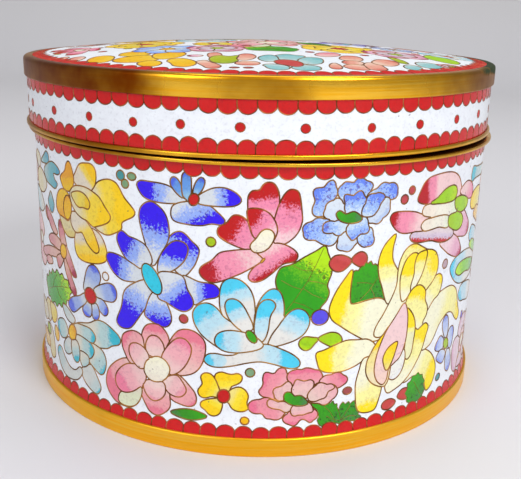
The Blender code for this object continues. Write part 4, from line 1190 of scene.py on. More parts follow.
def scale_row(sheet, radius, base, tip, seed):
    """Round-ended tabs from a base line towards tip, by formula, each a little different."""
    chance = Random(seed)
    pitch = 2 * math.pi * radius / SCALES
    toward = 1 if tip > base else -1
    cuts = [chance.uniform(-UNEVEN, UNEVEN) for _ in range(SCALES - 1)]
    cuts = [-math.pi * radius + pitch * k + shift for k, shift in enumerate([0.0, *cuts, 0.0])]
    for left, right in zip(cuts, cuts[1:]):
        middle, half = (left + right) / 2, (right - left) / 2
        reach = abs(tip - base) + chance.uniform(-UNEVEN, UNEVEN)
        straight = reach - half * chance.uniform(0.74, 1.0)
        outline = [(-half, -TUCKED), (-half, straight)]
        for angle in HALF_TURN:
            bow = straight + (reach - straight) * math.sin(angle)
            outline.append((-half * math.cos(angle), bow))
        outline += [(half, straight), (half, -TUCKED)]
        loop = [Vector((middle + across, base + toward * out)) for across, out in outline]
        cell = Cell(loop, SCALE_RED, wire=SCALE_WIRE)
        cell.root, cell.tip = Vector((middle, base)), Vector((middle, tip))
        sheet.cells.append(cell)


def scale_ring(sheet, radius, depth, seed):
    """The same tabs round the edge of a disc, pointing at its centre."""
    chance = Random(seed)
    step = 2 * math.pi / SCALES
    for k in range(SCALES):
        reach = depth + chance.uniform(-0.12, 0.12)
        outline = [(-0.5, -TUCKED), (-0.5, reach * 0.15)]
        for angle in HALF_TURN:
            outline.append((-0.5 * math.cos(angle), reach * (0.15 + 0.85 * math.sin(angle))))
        outline += [(0.5, reach * 0.15), (0.5, -TUCKED)]
        loop = []
        for share, inward in outline:
            angle = step * (k + 0.5 + share)
            loop.append(Vector((math.cos(angle), math.sin(angle))) * (radius - inward))
        cell = Cell(loop, SCALE_RED, wire=SCALE_WIRE)
        middle = Vector((math.cos(step * (k + 0.5)), math.sin(step * (k + 0.5))))
        cell.root, cell.tip = middle * radius, middle * (radius - depth)
        sheet.cells.append(cell)


scale_row(wall, WALL_RADIUS, FACE_HIGH, tip=59.7, seed=1)
scale_row(wall, WALL_RADIUS, FACE_LOW, tip=6.6, seed=2)
scale_row(skirt, SKIRT_RADIUS, SKIRT_HIGH, tip=8.5, seed=3)
scale_row(skirt, SKIRT_RADIUS, SKIRT_LOW, tip=3.5, seed=4)
scale_ring(dome, DOME_RADIUS, depth=3.2, seed=9)
print("scales on one row:", SCALES)

# %% Red dots on the skirt
SKIRT_DOTS = [-62.4, -48.6, -36.1, -24.8, -14.7, -3.2, 9.1, 22.5, 34.3, 46.4, 57.7]
DOT_HIGH = 5.8
DOT_LONG, DOT_WIDE = 0.95, 0.9
DOT_STEP = 12.0
SKIRT_END = 176  # where the drawing ends, at the back
chance = Random(7)
unseen = [SKIRT_DOTS[-1] + DOT_STEP * k + chance.uniform(-0.8, 0.8) for k in range(1, 20)]
for u in SKIRT_DOTS + [u if u < SKIRT_END else u - skirt.wrap for u in unseen]:
    high, half_long = DOT_HIGH + chance.uniform(-0.2, 0.2), DOT_LONG + chance.uniform(-0.1, 0.1)
    dot = oval(RED_GLASS, u, high, half_long, DOT_WIDE, wire=FINE_WIRE)
    plant(skirt, flower(u, DOT_HIGH, dot))
print(len(SKIRT_DOTS) + len(unseen), "dots round the skirt")

# %% [markdown]
# ## Cutting the sheets into glass
# A sheet becomes one mesh. Each corner of each triangle keeps the dye at the petal's root,
# the dye at its tip, and how far along it stands, so the material can let the two pastes
# run into each other with their grain. Slivers left between two petals that should touch
# are given to the neighbour they touch most.

# %% Who owns each triangle
SLIVER = 0.30  # square millimetres
WELD = 1e-4  # points closer than this become one


def own_triangles(sheet):
    """The sheet's points, its triangles and the cell that owns each, -1 for the ground."""
    points = list(sheet.border)
    edges = [(k, (k + 1) % len(points)) for k in range(len(points))]
    loops, owners = [], []
    for number, cell in enumerate(sheet.cells):
        loop = cell.outline if area(cell.outline) > 0 else cell.outline[::-1]
        grown = []
        for before, here, after in zip(loop[-1:] + loop, loop, loop[1:] + loop[:1]):
            along = (after - before).normalized()
            grown.append(here + Vector((along.y, -along.x)) * SNUG)
        shifts = [0.0]
        if sheet.wrap:
            low, high = min(p.x for p in grown), max(p.x for p in grown)
            shifts += [sheet.wrap] if low < -sheet.wrap / 2 else []
            shifts += [-sheet.wrap] if high > sheet.wrap / 2 else []
        for shift in shifts:
            loops.append(list(range(len(points), len(points) + len(grown))))
            points += [p + Vector((shift, 0)) for p in grown]
            owners.append((number, shift))
    points += sheet.grid
    points, _, triangles, _, _, covers = delaunay_2d_cdt(points, edges, loops, 0, WELD, True)
    kept, tops = [], []
    for triangle, cover in zip(triangles, covers):
        middle = (points[triangle[0]] + points[triangle[1]] + points[triangle[2]]) / 3
        if sheet.inside(middle):
            kept.append(triangle)
            tops.append(max(cover) if len(cover) else -1)
    return points, kept, tops, owners


def neighbours(triangles):
    beside = {}
    for number, (a, b, c) in enumerate(triangles):
        for pair in ((a, b), (b, c), (c, a)):
            beside.setdefault((min(pair), max(pair)), []).append(number)
    return beside


def fill_slivers(points, triangles, tops):
    """Gives each tiny patch to the neighbour that it touches most."""
    beside = neighbours(triangles)
    touching = [[] for _ in triangles]
    for (a, b), numbers in beside.items():
        if len(numbers) == 2:
            length = (points[a] - points[b]).length
            touching[numbers[0]].append((numbers[1], length))
            touching[numbers[1]].append((numbers[0], length))
    seen, filled = [False] * len(triangles), 0
    for first in range(len(triangles)):
        if seen[first]:
            continue
        patch, queue, size, shared = [], [first], 0.0, {}
        seen[first] = True
        while queue:
            here = queue.pop()
            patch.append(here)
            size += abs(area([points[k] for k in triangles[here]]))
            for there, length in touching[here]:
                if tops[there] != tops[here]:
                    shared[tops[there]] = shared.get(tops[there], 0.0) + length
                elif not seen[there]:
                    seen[there] = True
                    queue.append(there)
        if size < SLIVER and shared:
            best = max(shared, key=shared.get)
            for number in patch:
                tops[number] = best
            filled += 1
    return filled


print("a patch smaller than", SLIVER, "square mm goes to its neighbour")


# %% From triangles to a mesh


def new_piece(name, points, faces, material):
    mesh = bpy.data.meshes.new(name)
    mesh.from_pydata([tuple(p) for p in points], [], faces)
    mesh.materials.append(material)
    mesh.shade_smooth()
    piece = bpy.data.objects.new(name, mesh)
    bpy.context.scene.collection.objects.link(piece)
    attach(piece, "root")
    return piece


def dye_corners(mesh, rows):
    """rows holds, for each corner, its cell's paste, the place along the petal, and the grain."""
    root = [v for paste, _, grain in rows for v in (*paste[0], grain)]
    middle = [v for paste, _, _ in rows for v in (*paste[1], 1.0)]
    tip = [v for paste, _, _ in rows for v in (*paste[2], 1.0)]
    kept = (
        ("root_dye", "FLOAT_COLOR", "color", root),
        ("middle_dye", "FLOAT_COLOR", "color", middle),
        ("tip_dye", "FLOAT_COLOR", "color", tip),
        ("fade", "FLOAT", "value", [share for _, share, _ in rows]),
    )
    for name, kind, key, values in kept:
        mesh.attributes.new(name, kind, "CORNER").data.foreach_set(key, values)


def cut_sheet(sheet):
    """The sheet's points, its triangles, the dye of every corner, and the wires."""
    points, triangles, tops, owners = own_triangles(sheet)
    filled = fill_slivers(points, triangles, tops)
    rows = []
    for triangle, top in zip(triangles, tops):
        if top < 0:
            rows += [(GROUND, 0.0, 0.0)] * 3
            continue
        number, shift = owners[top]
        cell = sheet.cells[number]
        along = cell.tip - cell.root
        for k in triangle:
            share = (points[k] - Vector((shift, 0)) - cell.root).dot(along)
            share = share / max(along.length_squared, 1e-6)
            rows.append((cell.paste, share, cell.grain))
    wires = chain_wires(sheet, points, triangles, tops, owners)
    print(sheet.name, "has", len(sheet.cells), "cells,", len(triangles), "triangles,", end=" ")
    print(filled, "slivers filled,", len(wires), "wires")
    return points, triangles, rows, wires


print("cells waiting to be cut:", sum(len(sheet.cells) for sheet in (wall, skirt, dome)))


# %% [markdown]
# ## Wire
# Cloisonne wire is flat ribbon, about 0.3 mm thick, whose edge shows. It is ground level
# with the glass, then gilded, which leaves it a hair proud. Each wire here is a closed
# ribbon with a low flat top, swept along the edges between two owners.

# %% Chains of edges
WIRE_RISE = 0.035
WIRE_SINK = 0.08
WIRE_STEP = 0.5  # a ribbon has a point about every so many millimetres
RIBBON = ((-1, -WIRE_SINK), (1, -WIRE_SINK), (0.85, WIRE_RISE), (-0.85, WIRE_RISE))
VEIN_DYE = dye(186, 166, 76)


def chain_wires(sheet, points, triangles, tops, owners):
    """Joins the edges between different owners end to end, from meeting point to meeting point."""
    links = {}
    for (a, b), numbers in neighbours(triangles).items():
        if len(numbers) == 2 and tops[numbers[0]] != tops[numbers[1]]:
            under, upper = sorted(tops[k] for k in numbers)
            cell = sheet.cells[owners[upper][0]]
            if not cell.wire and under >= 0 and owners[under][0] == owners[upper][0] - 1:
                continue  # a second paste laid in the same petal
            wire = (cell.wire or WIRE, cell.paste[1])
            links.setdefault(a, {})[b] = wire
            links.setdefault(b, {})[a] = wire
    chains = []

    def walk(start, step):
        wire, path = links[start][step], [start, step]
        del links[start][step], links[step][start]
        while len(links[path[-1]]) == 1 and (path[-1] not in joints):
            after = next(iter(links[path[-1]]))
            del links[path[-1]][after], links[after][path[-1]]
            path.append(after)
        chains.append(([points[k] for k in path], *wire))

    joints = {k for k, ends in links.items() if len(ends) != 2}
    for start in sorted(joints) + sorted(set(links) - joints):
        while links[start]:
            walk(start, next(iter(links[start])))
    chains += [(vein, VEIN_WIRE, VEIN_DYE) for vein in sheet.veins]
    return chains


def evenly(path, spacing):
    """Points at even steps along a path, its ends kept."""
    lengths = [0.0]
    for a, b in zip(path, path[1:]):
        lengths.append(lengths[-1] + (b - a).length)
    count = max(1, round(lengths[-1] / spacing))
    result, k = [], 0
    for i in range(count + 1):
        goal = lengths[-1] * i / count
        while k < len(path) - 2 and lengths[k + 1] < goal:
            k += 1
        span = lengths[k + 1] - lengths[k]
        share = (goal - lengths[k]) / span if span > 1e-9 else 0.0
        result.append(path[k].lerp(path[k + 1], min(1.0, share)))
    return result


print("points along 2 mm of wire:", len(evenly(pairs((0, 0, 2, 0)), WIRE_STEP)))


# %% Ribbons


def ribbon_piece(name, sheet, wires, material):
    points, faces, dyes = [], [], []
    for path, thick, glass in wires:
        path = evenly(path, WIRE_STEP)
        closed = (path[0] - path[-1]).length < 1e-6 and len(path) > 3
        if closed:
            path = path[:-1]
        first, count = len(points), len(path)
        for k, here in enumerate(path):
            before = path[k - 1] if (k or closed) else here
            after = path[(k + 1) % count] if (k < count - 1 or closed) else here
            along = (after - before).normalized()
            side = Vector((-along.y, along.x)) * (thick / 2)
            for across, rise in RIBBON:
                points.append(sheet.place(*(here + side * across), rise))
        dyes += (*glass, 1.0) * (4 * count)
        for k in range(count if closed else count - 1):
            a, b = first + 4 * k, first + 4 * ((k + 1) % count)
            faces += [(a + i, a + (i + 1) % 4, b + (i + 1) % 4, b + i) for i in range(4)]
        if not closed:
            last = first + 4 * (count - 1)
            faces.append((first + 3, first + 2, first + 1, first))
            faces.append((last, last + 1, last + 2, last + 3))
    piece = new_piece(name, points, faces, material)
    piece.data.attributes.new("glass_dye", "FLOAT_COLOR", "POINT").data.foreach_set("color", dyes)
    print(name, "has", len(wires), "wires and", 2 * len(faces), "triangles")
    return piece


print("wire stands", WIRE_RISE, "mm proud of the glass")

# %% [markdown]
# ## Finishes
# Three finishes cover the box. The glass is glossy, duller on the worn top of the lid,
# slightly wavy from the polishing stone, with pinholes where gas left it, and its pastes
# meet in grains. The wires are gilded copper that has dulled to brown. The rings are spun
# brass with fine streaks round them and mottled brown tarnish, with green verdigris at one
# end of the shoulder. Painted shade browns their -X ends and inner sides, and painted
# stripes of light and shade on the shoulder stand in for its reflections. Each finish is a
# small tree of nodes, so it follows the object from every side and needs no picture.

# %% Node helpers


def start_material(name):
    material = bpy.data.materials.new(name)
    material.use_nodes = True
    tree = material.node_tree
    return material, tree, tree.nodes["Principled BSDF"]


def add(tree, kind, settings=None, **inputs):
    """A node with its settings, and its inputs by name or number, either values or outputs."""
    made = tree.nodes.new(kind)
    for key, value in (settings or {}).items():
        setattr(made, key, value)
    for key, value in inputs.items():
        numbered = key[0] == "i" and key[1:].isdigit()
        socket = made.inputs[int(key[1:]) if numbered else key.replace("_", " ")]
        if isinstance(value, bpy.types.NodeSocket):
            tree.links.new(value, socket)
        else:
            socket.default_value = value
    return made


def carried(tree, name):
    """A value that the mesh carries at each corner or point."""
    return add(tree, "ShaderNodeAttribute", {"attribute_name": name})


def on_object(tree):
    return add(tree, "ShaderNodeTexCoord").outputs["Object"]


def maths(tree, operation, first, second=0.0, clamp=False):
    settings = {"operation": operation, "use_clamp": clamp}
    return add(tree, "ShaderNodeMath", settings, i0=first, i1=second).outputs[0]


def times(tree, first, second, clamp=False):
    return maths(tree, "MULTIPLY", first, second, clamp)


def plus(tree, first, second):
    return maths(tree, "ADD", first, second)


def minus(tree, first, second):
    return maths(tree, "SUBTRACT", first, second)


def blend_dyes(tree, share, first, second, mode="MIX"):
    settings = {"data_type": "RGBA", "blend_type": mode}
    return add(tree, "ShaderNodeMix", settings, i0=share, i6=first, i7=second).outputs[2]


def ramp(tree, share, low, high):
    """0 below low, 1 above high, smooth between."""
    made = add(
        tree, "ShaderNodeMapRange", {"interpolation_type": "SMOOTHSTEP"},
        i0=share, i1=low, i2=high, i3=0.0, i4=1.0,
    )
    return made.outputs[0]


def between(tree, share, left, right):
    """1 between two soft edges, 0 outside them."""
    return minus(tree, ramp(tree, share, *left), ramp(tree, share, *right))


def noise(tree, where, scale, detail=2.0, roughness=0.5):
    made = add(
        tree, "ShaderNodeTexNoise", None,
        Vector=where, Scale=scale, Detail=detail, Roughness=roughness,
    )
    return made.outputs[0]


def bump(tree, surface, strength, depth, height):
    made = add(tree, "ShaderNodeBump", None, Strength=strength, Distance=depth, Height=height)
    tree.links.new(made.outputs[0], surface.inputs["Normal"])


print("finishes made so far:", len(bpy.data.materials))


# %% Glass
# How fine each pattern is, in waves per metre.
GRAIN, STRAY, FLECK, PIT, CLOUD, DRIFT, WAVE = 2200.0, 1700.0, 1500.0, 900.0, 420.0, 260.0, 90.0
# Where along a petal the root's paste gives way to the middle's, and that to the tip's.
TO_MIDDLE, TO_TIP = (0.0, 0.5), (0.72, 0.96)
STRAYS_BETWEEN = ((0.40, 0.72), (0.85, 1.1))
STRAY_TINT, CLOUD_TINT = (0.56, 0.36, 0.56, 1.0), (0.55, 0.52, 0.56, 1.0)
FLECK_TINT, PIT_TINT = (0.40, 0.36, 0.42, 1.0), (0.10, 0.07, 0.05, 1.0)
WORN_TOP = (0.0770, 0.0785)  # metres up, where the lid's top has lost some gloss
GLASS_IOR = 1.52


def glass_finish():
    material, tree, surface = start_material("polished_enamel")
    where = on_object(tree)
    root, middle, tip = (carried(tree, name) for name in ("root_dye", "middle_dye", "tip_dye"))
    grain = root.outputs["Alpha"]
    speckle = minus(tree, noise(tree, where, GRAIN, 2.0, 0.7), 0.5)
    speckle = times(tree, speckle, times(tree, grain, 6.0))
    drift = times(tree, minus(tree, noise(tree, where, DRIFT), 0.5), 0.5)
    place = carried(tree, "fade").outputs["Fac"]
    share = plus(tree, plus(tree, place, speckle), drift)
    first, second = root.outputs["Color"], middle.outputs["Color"]
    colour = blend_dyes(tree, ramp(tree, share, *TO_MIDDLE), first, second)
    colour = blend_dyes(tree, ramp(tree, share, *TO_TIP), colour, tip.outputs["Color"])
    low, high = STRAYS_BETWEEN
    meeting = times(tree, ramp(tree, share, *low), minus(tree, 1.0, ramp(tree, share, *high)))
    strays = times(tree, ramp(tree, noise(tree, where, STRAY, 1.0), 0.56, 0.64), meeting)
    strays = times(tree, strays, times(tree, grain, 4.0), True)
    colour = blend_dyes(tree, strays, colour, STRAY_TINT, "MULTIPLY")
    cloud = ramp(tree, noise(tree, where, CLOUD, 4.0, 0.6), 0.30, 0.75)
    colour = blend_dyes(tree, times(tree, cloud, 0.14), colour, CLOUD_TINT, "MULTIPLY")
    flecks = ramp(tree, noise(tree, where, FLECK, 3.0, 0.6), 0.50, 0.72)
    colour = blend_dyes(tree, times(tree, flecks, 0.22), colour, FLECK_TINT, "MULTIPLY")
    pits = ramp(tree, noise(tree, where, PIT, 1.0), 0.77, 0.80)
    colour = blend_dyes(tree, times(tree, pits, 0.55), colour, PIT_TINT)
    tree.links.new(colour, surface.inputs["Base Color"])
    up = add(tree, "ShaderNodeSeparateXYZ", None, Vector=where).outputs["Z"]
    worn = ramp(tree, up, *WORN_TOP)
    rough = plus(tree, times(tree, cloud, 0.08), 0.10)
    rough = plus(tree, rough, times(tree, worn, 0.35))
    tree.links.new(rough, surface.inputs["Roughness"])
    shine = minus(tree, 0.35, times(tree, worn, 0.22))
    tree.links.new(shine, surface.inputs["Specular IOR Level"])
    surface.inputs["IOR"].default_value = GLASS_IOR
    height = minus(tree, noise(tree, where, WAVE), times(tree, pits, 0.25))
    bump(tree, surface, 0.35, 0.00025, height)
    return material


enamel = glass_finish()
print(enamel.name, "has", len(enamel.node_tree.nodes), "nodes")

# %% Wire and brass
GILT_WORN, GILT_BRIGHT = (*dye(120, 80, 42), 1), (*dye(190, 138, 78), 1)
BRASS_DEEP, BRASS_BRIGHT = (*dye(255, 186, 50), 1), (*dye(255, 204, 82), 1)
# The brown serves both the mottled tarnish and the painted shade on the rings.
BRASS_TARNISH_AND_SHADE, VERDIGRIS = (*dye(122, 62, 16), 1), (*dye(52, 62, 40), 1)
# Soft edges on the rings, in metres from the axis, or up.
# Painted shade: the -X end and the side towards the axis are browned.
PAINTED_SHADE_END, PAINTED_SHADE_WITHIN = (0.015, 0.026), (-0.0566, -0.0556)
# On the shoulder: a painted dark stripe across the front, a painted highlight stripe to the right
# of it, and painted shade towards the +X end. The green beside them is verdigris.
PAINTED_DARK_STRIPE = ((-0.011, -0.005), (0.006, 0.013))
PAINTED_BRIGHT_STRIPE = ((0.008, 0.013), (0.018, 0.028))
PAINTED_SHADE_TOWARD_PLUS_X, GREEN_FROM, GREEN_ABOVE = (0.020, 0.050), (0.034, 0.056), (0.0758, 0.0790)


def wire_finish():
    material, tree, surface = start_material("gilded_wire")
    worn = ramp(tree, noise(tree, on_object(tree), 300.0, 3.0), 0.35, 0.65)
    gilt = blend_dyes(tree, worn, GILT_WORN, GILT_BRIGHT)
    lapped = blend_dyes(tree, 0.65, gilt, carried(tree, "glass_dye").outputs["Color"], "MULTIPLY")
    tree.links.new(blend_dyes(tree, 0.55, gilt, lapped), surface.inputs["Base Color"])
    surface.inputs["Metallic"].default_value = 0.6
    tree.links.new(plus(tree, times(tree, worn, -0.15), 0.5), surface.inputs["Roughness"])
    return material


def brass_finish(name, tarnish, painted_shade_end=0.0, verdigris=0.0, painted_shade_inside=0.0, satin=0.22):
    """Spun brass with mottled tarnish. Painted shade may brown its -X end and its inner side; with
    verdigris its +X end goes green and painted stripes of light and shade cross it.
    """
    material, tree, surface = start_material(name)
    where = on_object(tree)
    x, y, z = add(tree, "ShaderNodeSeparateXYZ", None, Vector=where).outputs
    radius = maths(tree, "SQRT", plus(tree, times(tree, x, x), times(tree, y, y)))
    run = times(tree, plus(tree, radius, z), 60.0)
    spun = add(tree, "ShaderNodeCombineXYZ", None, X=x, Y=y, Z=run).outputs[0]
    streaks = noise(tree, spun, 45.0, 4.0, 0.65)
    patches = noise(tree, where, 70.0, 4.0, 0.6)
    # Painted shade: brown at the -X end and on the side towards the axis, where the rings catch
    # little light.
    left = ramp(tree, times(tree, x, -1.0), *PAINTED_SHADE_END)
    inner = ramp(tree, times(tree, radius, -1.0), *PAINTED_SHADE_WITHIN)
    painted_light_and_shade = plus(tree, times(tree, left, painted_shade_end), times(tree, inner, painted_shade_inside))
    if verdigris:
        # Painted light and shade on the shoulder: a dark stripe, a highlight stripe, and shade
        # towards +X.
        painted_light_and_shade = plus(tree, painted_light_and_shade, times(tree, between(tree, x, *PAINTED_DARK_STRIPE), 0.16))
        painted_light_and_shade = minus(tree, painted_light_and_shade, times(tree, between(tree, x, *PAINTED_BRIGHT_STRIPE), 0.12))
        painted_light_and_shade = plus(tree, painted_light_and_shade, times(tree, ramp(tree, x, *PAINTED_SHADE_TOWARD_PLUS_X), 0.30))
    mottled = plus(tree, times(tree, patches, 0.5), 0.25 + tarnish)
    # The brown mixes mottled tarnish with the painted light and shade.
    brown = ramp(tree, plus(tree, mottled, painted_light_and_shade), 0.45, 1.05)
    colour = blend_dyes(tree, ramp(tree, streaks, 0.3, 0.7), BRASS_DEEP, BRASS_BRIGHT)
    colour = blend_dyes(tree, brown, colour, BRASS_TARNISH_AND_SHADE)
    rough = plus(tree, times(tree, brown, 0.22), satin)
    if verdigris:
        end = times(tree, ramp(tree, x, *GREEN_FROM), ramp(tree, z, *GREEN_ABOVE))
        green = ramp(tree, plus(tree, times(tree, end, verdigris), patches), 0.95, 1.15)
        colour = blend_dyes(tree, green, colour, VERDIGRIS)
        rough = plus(tree, rough, times(tree, green, 0.4))
        metal = minus(tree, 1.0, times(tree, green, 0.9))
        tree.links.new(metal, surface.inputs["Metallic"])
    else:
        surface.inputs["Metallic"].default_value = 1.0
    tree.links.new(colour, surface.inputs["Base Color"])
    tree.links.new(rough, surface.inputs["Roughness"])
    bump(tree, surface, 0.14, 0.00008, streaks)
    return material


gilding = wire_finish()
# Besides each ring's mottled tarnish, these numbers set its painted shade at the -X end and on the
# inner side.
foot_brass = brass_finish("spun_brass_foot", tarnish=-0.14, painted_shade_end=0.12, satin=0.36)
rim_brass = brass_finish("spun_brass_rims", tarnish=0.12, painted_shade_end=0.18, painted_shade_inside=0.9)
band_brass = brass_finish("spun_brass_shoulder", tarnish=0.05, painted_shade_end=0.36, verdigris=0.75)
print("finishes:", [m.name for m in (enamel, gilding, foot_brass, rim_brass, band_brass)])

# %% [markdown]
# ## Cup and lid
# Under the drawn face each enamelled piece goes on: over the edge, down the inside, and
# across the floor. The inside and the base carry plain turquoise glass, which a maker adds
# so that the copper doesn't warp in the kiln. That side is turned, and its edges meet the
# sheet's edges point by point.

# %% Turning
COUNTER = one_glass(70, 165, 180)
BEND_STEPS = 6  # along an eased corner
SHARP_RING, SHARP_GLASS = math.radians(40), math.radians(50)


def rounded(corners):
    """An outline of radius and height whose corners are rounded by arcs."""
    outline = []
    for k, (r, z, fillet) in enumerate(corners):
        here = Vector((r, z))
        if not fillet:
            outline.append(here)
            continue
        back = (Vector(corners[k - 1][:2]) - here).normalized()
        on = (Vector(corners[(k + 1) % len(corners)][:2]) - here).normalized()
        for i in range(BEND_STEPS + 1):
            t = i / BEND_STEPS
            start, end = here + back * fillet, here + on * fillet
            bow = here * (2 * t * (1 - t)) + start * (1 - t) ** 2 + end * t ** 2
            outline.append(bow)
    return outline


def turn_outline(outline, closed, lift=None):
    """Points and faces of an outline turned about the axis, in metres."""
    lift = lift or Matrix.Identity(4)
    points, rings, faces = [], [], []
    for p in outline:
        if p.x < 1e-6:
            rings.append([len(points)] * AROUND)
            points.append((lift @ Vector((0, 0, p.y))) * MM)
            continue
        rings.append(list(range(len(points), len(points) + AROUND)))
        for k in range(AROUND):
            angle = 2 * math.pi * k / AROUND - math.pi / 2
            spot = Vector((p.x * math.cos(angle), p.x * math.sin(angle), p.y))
            points.append((lift @ spot) * MM)
    for lower, upper in zip(rings, rings[1:] + (rings[:1] if closed else [])):
        for k in range(AROUND):
            n = (k + 1) % AROUND
            corners = list(dict.fromkeys((lower[k], lower[n], upper[n], upper[k])))
            if len(corners) > 2:
                faces.append(tuple(corners))
    return points, faces


def turned_ring(name, corners, material, lift=None):
    points, faces = turn_outline(rounded(corners), True, lift)
    piece = new_piece(name, points, faces, material)
    piece.data.set_sharp_from_angle(angle=SHARP_RING)
    print(name, "turned with", len(faces), "faces")
    return piece


def enamelled_piece(name, cuts, back_outline, lift=None):
    """Joins cut sheets to the plain turned side of the same piece."""
    points, faces, rows = [], [], []
    for sheet, (flat, triangles, corner_rows, _) in cuts:
        first = len(points)
        points += [sheet.place(p.x, p.y) for p in flat]
        faces += [tuple(first + k for k in triangle) for triangle in triangles]
        rows += corner_rows
    for outline in back_outline:
        more, back = turn_outline(outline, False, lift)
        first = len(points)
        points += more
        faces += [tuple(first + k for k in face) for face in back]
        rows += [(COUNTER, 0.0, 0.0) for face in back for _ in face]
    piece = new_piece(name, points, faces, enamel)
    dye_corners(piece.data, rows)
    piece.data.set_sharp_from_angle(angle=SHARP_GLASS)
    print(name, "has", sum(len(f) - 2 for f in faces), "triangles")
    return piece


print("every turned edge has", AROUND, "points")

# %% The enamelled cup
wall_cut = cut_sheet(wall)
cup_inner, cup_floor = WALL_RADIUS - WALL_THICK, CUP_LOW + WALL_THICK
FLOOR_ROUND = 1.6
cup_back = rounded([
    (WALL_RADIUS, FACE_HIGH, 0), (cup_inner, FACE_HIGH, 0), (cup_inner, cup_floor, FLOOR_ROUND),
    (0, cup_floor, 0),
])
cup_under = pairs((0, CUP_LOW, 30, CUP_LOW, 54, CUP_LOW, WALL_RADIUS + flare(FACE_LOW), FACE_LOW))
cup = enamelled_piece("enamelled_cup", [(wall, wall_cut)], [cup_back, cup_under])
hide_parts("box_cup")
ribbon_piece("cup_wires", wall, wall_cut[3], gilding)

# %% The enamelled lid
skirt_cut, dome_cut = cut_sheet(skirt), cut_sheet(dome)
lid_inner = SKIRT_RADIUS - WALL_THICK
ceiling_edge = BAND_HIGH - CEILING_DROP
CEILING_BEVEL = 1.2
ceiling_radius = lid_inner - CEILING_BEVEL
ARCH_STEPS = 12


def arch(radius, low, rise):
    sphere = (radius ** 2 + rise ** 2) / (2 * rise)
    places = [radius * (1 - k / ARCH_STEPS) for k in range(ARCH_STEPS + 1)]
    return [Vector((r, low + rise - sphere + math.sqrt(sphere ** 2 - r * r))) for r in places]


shoulder = pairs((SKIRT_RADIUS, SKIRT_HIGH, DOME_RADIUS, SKIRT_HIGH, DOME_RADIUS, BAND_HIGH))
lid_back = arch(ceiling_radius, ceiling_edge, DOME_RISE)[::-1] + pairs((
    lid_inner, ceiling_edge - CEILING_BEVEL, lid_inner, SKIRT_LOW, SKIRT_RADIUS, SKIRT_LOW,
))
lid_cuts = [(skirt, skirt_cut), (dome, dome_cut)]
lid = enamelled_piece("enamelled_lid", lid_cuts, [shoulder, lid_back], seat)
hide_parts("lid_cap")
ribbon_piece("skirt_wires", skirt, skirt_cut[3], gilding)
ribbon_piece("dome_wires", dome, dome_cut[3], gilding)

# %% [markdown]
# ## Brass rings
# Each ring is spun or bent from brass bar and soldered on after the last firing. Turning
# the same outline with 360 steps gives the smooth edge and the long highlights of the real
# ones. Their corners are eased, because a sharp edge wouldn't catch the light. The lid's rim
# hangs a little lower than its solid, to leave the thin dark line of the photograph.

# %% Rings
RIM_DROP = 0.2
LEDGE = 0.4  # how far the foot's top reaches in under the glass
foot_inner, foot_top = FOOT_RADIUS - FOOT_WIDTH, FACE_LOW - TOUCH
neck_inner, mouth_low = NECK_RADIUS - NECK_WALL, CUP_HIGH + SEAM
band_inner, band_low = DOME_RADIUS + TOUCH, SKIRT_HIGH + TOUCH
foot = turned_ring("brass_foot_ring", [
    (foot_inner, 0, 0.3), (FOOT_RADIUS, 0, 0.25), (FOOT_RADIUS, foot_top, 0.5),
    (WALL_RADIUS + FLARE_REACH - LEDGE, foot_top, 0), (foot_inner, CUP_LOW - TOUCH, 0),
], foot_brass)
mouth = turned_ring("brass_mouth_rim", [
    (neck_inner, NECK_LOW, 0.2), (NECK_RADIUS, NECK_LOW, 0.2), (NECK_RADIUS, mouth_low, 0),
    (MOUTH_RADIUS, mouth_low, 0.3), (MOUTH_RADIUS, MOUTH_HIGH, 0.3), (NECK_RADIUS, MOUTH_HIGH, 0),
    (NECK_RADIUS, NECK_HIGH, 0.35), (neck_inner, NECK_HIGH, 0.35),
], rim_brass)
lid_rim = turned_ring("brass_lid_rim", [
    (lid_inner, -RIM_DROP, 0.1), (LID_RIM_RADIUS, -RIM_DROP, 0.4),
    (LID_RIM_RADIUS, LID_RIM_HIGH, 0.4), (lid_inner, LID_RIM_HIGH, 0),
], rim_brass, seat)
band = turned_ring("brass_shoulder_band", [
    (band_inner, band_low, 0), (BAND_RADIUS, band_low, 0.4), (BAND_RADIUS, BAND_HIGH, 1.0),
    (band_inner, BAND_HIGH, 0.1),
], band_brass, seat)
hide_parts("box_foot_ring")
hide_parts("box_mouth_rim")
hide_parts("lid_rim")
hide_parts("lid_shoulder_band")

# %% [markdown]
# ## Floor, light and camera
# The box stands on a plain pale floor. A soft lamp at the front right draws the long streaks
# on the brass. A weaker one at the front left, a wide one above and a pale world keep the
# light as even as it is in the photograph. The camera stands where the rings' ellipses say
# that the photographer's did.

# %% Floor
FLOOR_HALF, FLOOR_BACK, SWEEP, WALL_TOP = 3.0, 0.7, 0.35, 2.5  # metres
SWEEP_STEPS = 12
FLOOR_PALE, BACK_PALE = (0.71, 0.70, 0.73, 1), (0.54, 0.52, 0.48, 1)


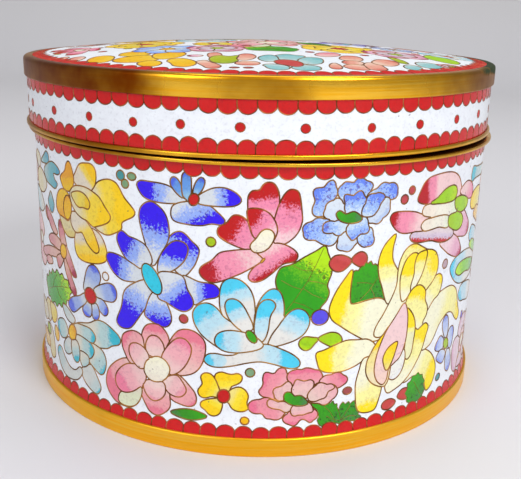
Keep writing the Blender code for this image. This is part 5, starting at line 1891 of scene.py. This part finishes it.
def pale_floor():
    """A flat sheet that sweeps up behind the box."""
    rows = [(-FLOOR_HALF, 0.0), (FLOOR_BACK, 0.0)]
    for k in range(1, SWEEP_STEPS + 1):
        angle = k * math.pi / (2 * SWEEP_STEPS)
        rows.append((FLOOR_BACK + SWEEP * math.sin(angle), SWEEP - SWEEP * math.cos(angle)))
    rows.append((FLOOR_BACK + SWEEP, WALL_TOP))
    points = [(x, y, z) for y, z in rows for x in (-FLOOR_HALF, FLOOR_HALF)]
    faces = [(2 * k, 2 * k + 1, 2 * k + 3, 2 * k + 2) for k in range(len(rows) - 1)]
    mesh = bpy.data.meshes.new("studio_floor")
    mesh.from_pydata(points, [], faces)
    mesh.shade_smooth()
    material, tree, surface = start_material("pale_floor")
    up = add(tree, "ShaderNodeSeparateXYZ", None, Vector=on_object(tree)).outputs["Z"]
    shaded = blend_dyes(tree, ramp(tree, up, 0.0, 0.3), FLOOR_PALE, BACK_PALE)
    tree.links.new(shaded, surface.inputs["Base Color"])
    surface.inputs["Roughness"].default_value = 0.8
    mesh.materials.append(material)
    floor = bpy.data.objects.new("studio_floor", mesh)
    bpy.context.scene.collection.objects.link(floor)
    return floor


floor = pale_floor()
print(floor.name, "has", len(floor.data.polygons), "faces")

# %% Light
AIM = Vector((0, 0, 0.04))  # the middle of the box


def soft_lamp(name, place, size, power):
    """A round lamp, with its place and size in metres and its power in watts."""
    lamp = bpy.data.lights.new(name, "AREA")
    lamp.shape, lamp.size, lamp.energy = "DISK", size, power
    holder = bpy.data.objects.new(name, lamp)
    bpy.context.scene.collection.objects.link(holder)
    holder.location = place
    holder.rotation_euler = (AIM - Vector(place)).to_track_quat("-Z", "Y").to_euler()


soft_lamp("key", (0.56, -0.78, 0.66), size=0.55, power=7.3)
soft_lamp("fill", (-0.6, -0.8, 0.5), size=0.7, power=3.2)
soft_lamp("top", (0.1, 0.1, 1.1), size=0.9, power=5)
world = bpy.data.worlds.new("studio")
world.use_nodes = True
sky = world.node_tree.nodes["Background"]
sky.inputs["Color"].default_value = (0.95, 0.97, 1.0, 1)
sky.inputs["Strength"].default_value = 0.38
bpy.context.scene.world = world

# %% Camera
PHOTO_WIDE = 521  # pixels
FOCAL_PIXELS = 787.6
CAMERA_PLACE = Vector((0, -203.0, 91.8)) * MM
YAW, PITCH, ROLL = (math.radians(a) for a in (0.25, 16.73, 1.67))
level_ahead = math.cos(PITCH)
ahead = Vector((math.sin(YAW) * level_ahead, math.cos(YAW) * level_ahead, -math.sin(PITCH)))
level = Vector((math.cos(YAW), -math.sin(YAW), 0))
upright = level.cross(ahead)
right = level * math.cos(ROLL) + upright * math.sin(ROLL)
up = upright * math.cos(ROLL) - level * math.sin(ROLL)
lens = bpy.data.cameras.new("photo_camera")
lens.sensor_fit, lens.sensor_width = "HORIZONTAL", 36.0
lens.lens = FOCAL_PIXELS * lens.sensor_width / PHOTO_WIDE
lens.clip_start = 0.01
camera = bpy.data.objects.new("photo_camera", lens)
bpy.context.scene.collection.objects.link(camera)
turned = Matrix((right, up, -ahead)).transposed().to_4x4()
camera.matrix_world = Matrix.Translation(CAMERA_PLACE) @ turned
bpy.context.scene.camera = camera
bpy.context.scene.view_settings.view_transform = "Standard"
print("lens", round(lens.lens, 1), "mm")

# %% [markdown]
# ## Finish
# The dressed box must keep the solids' size.

# %% The end
bpy.context.view_layer.update()
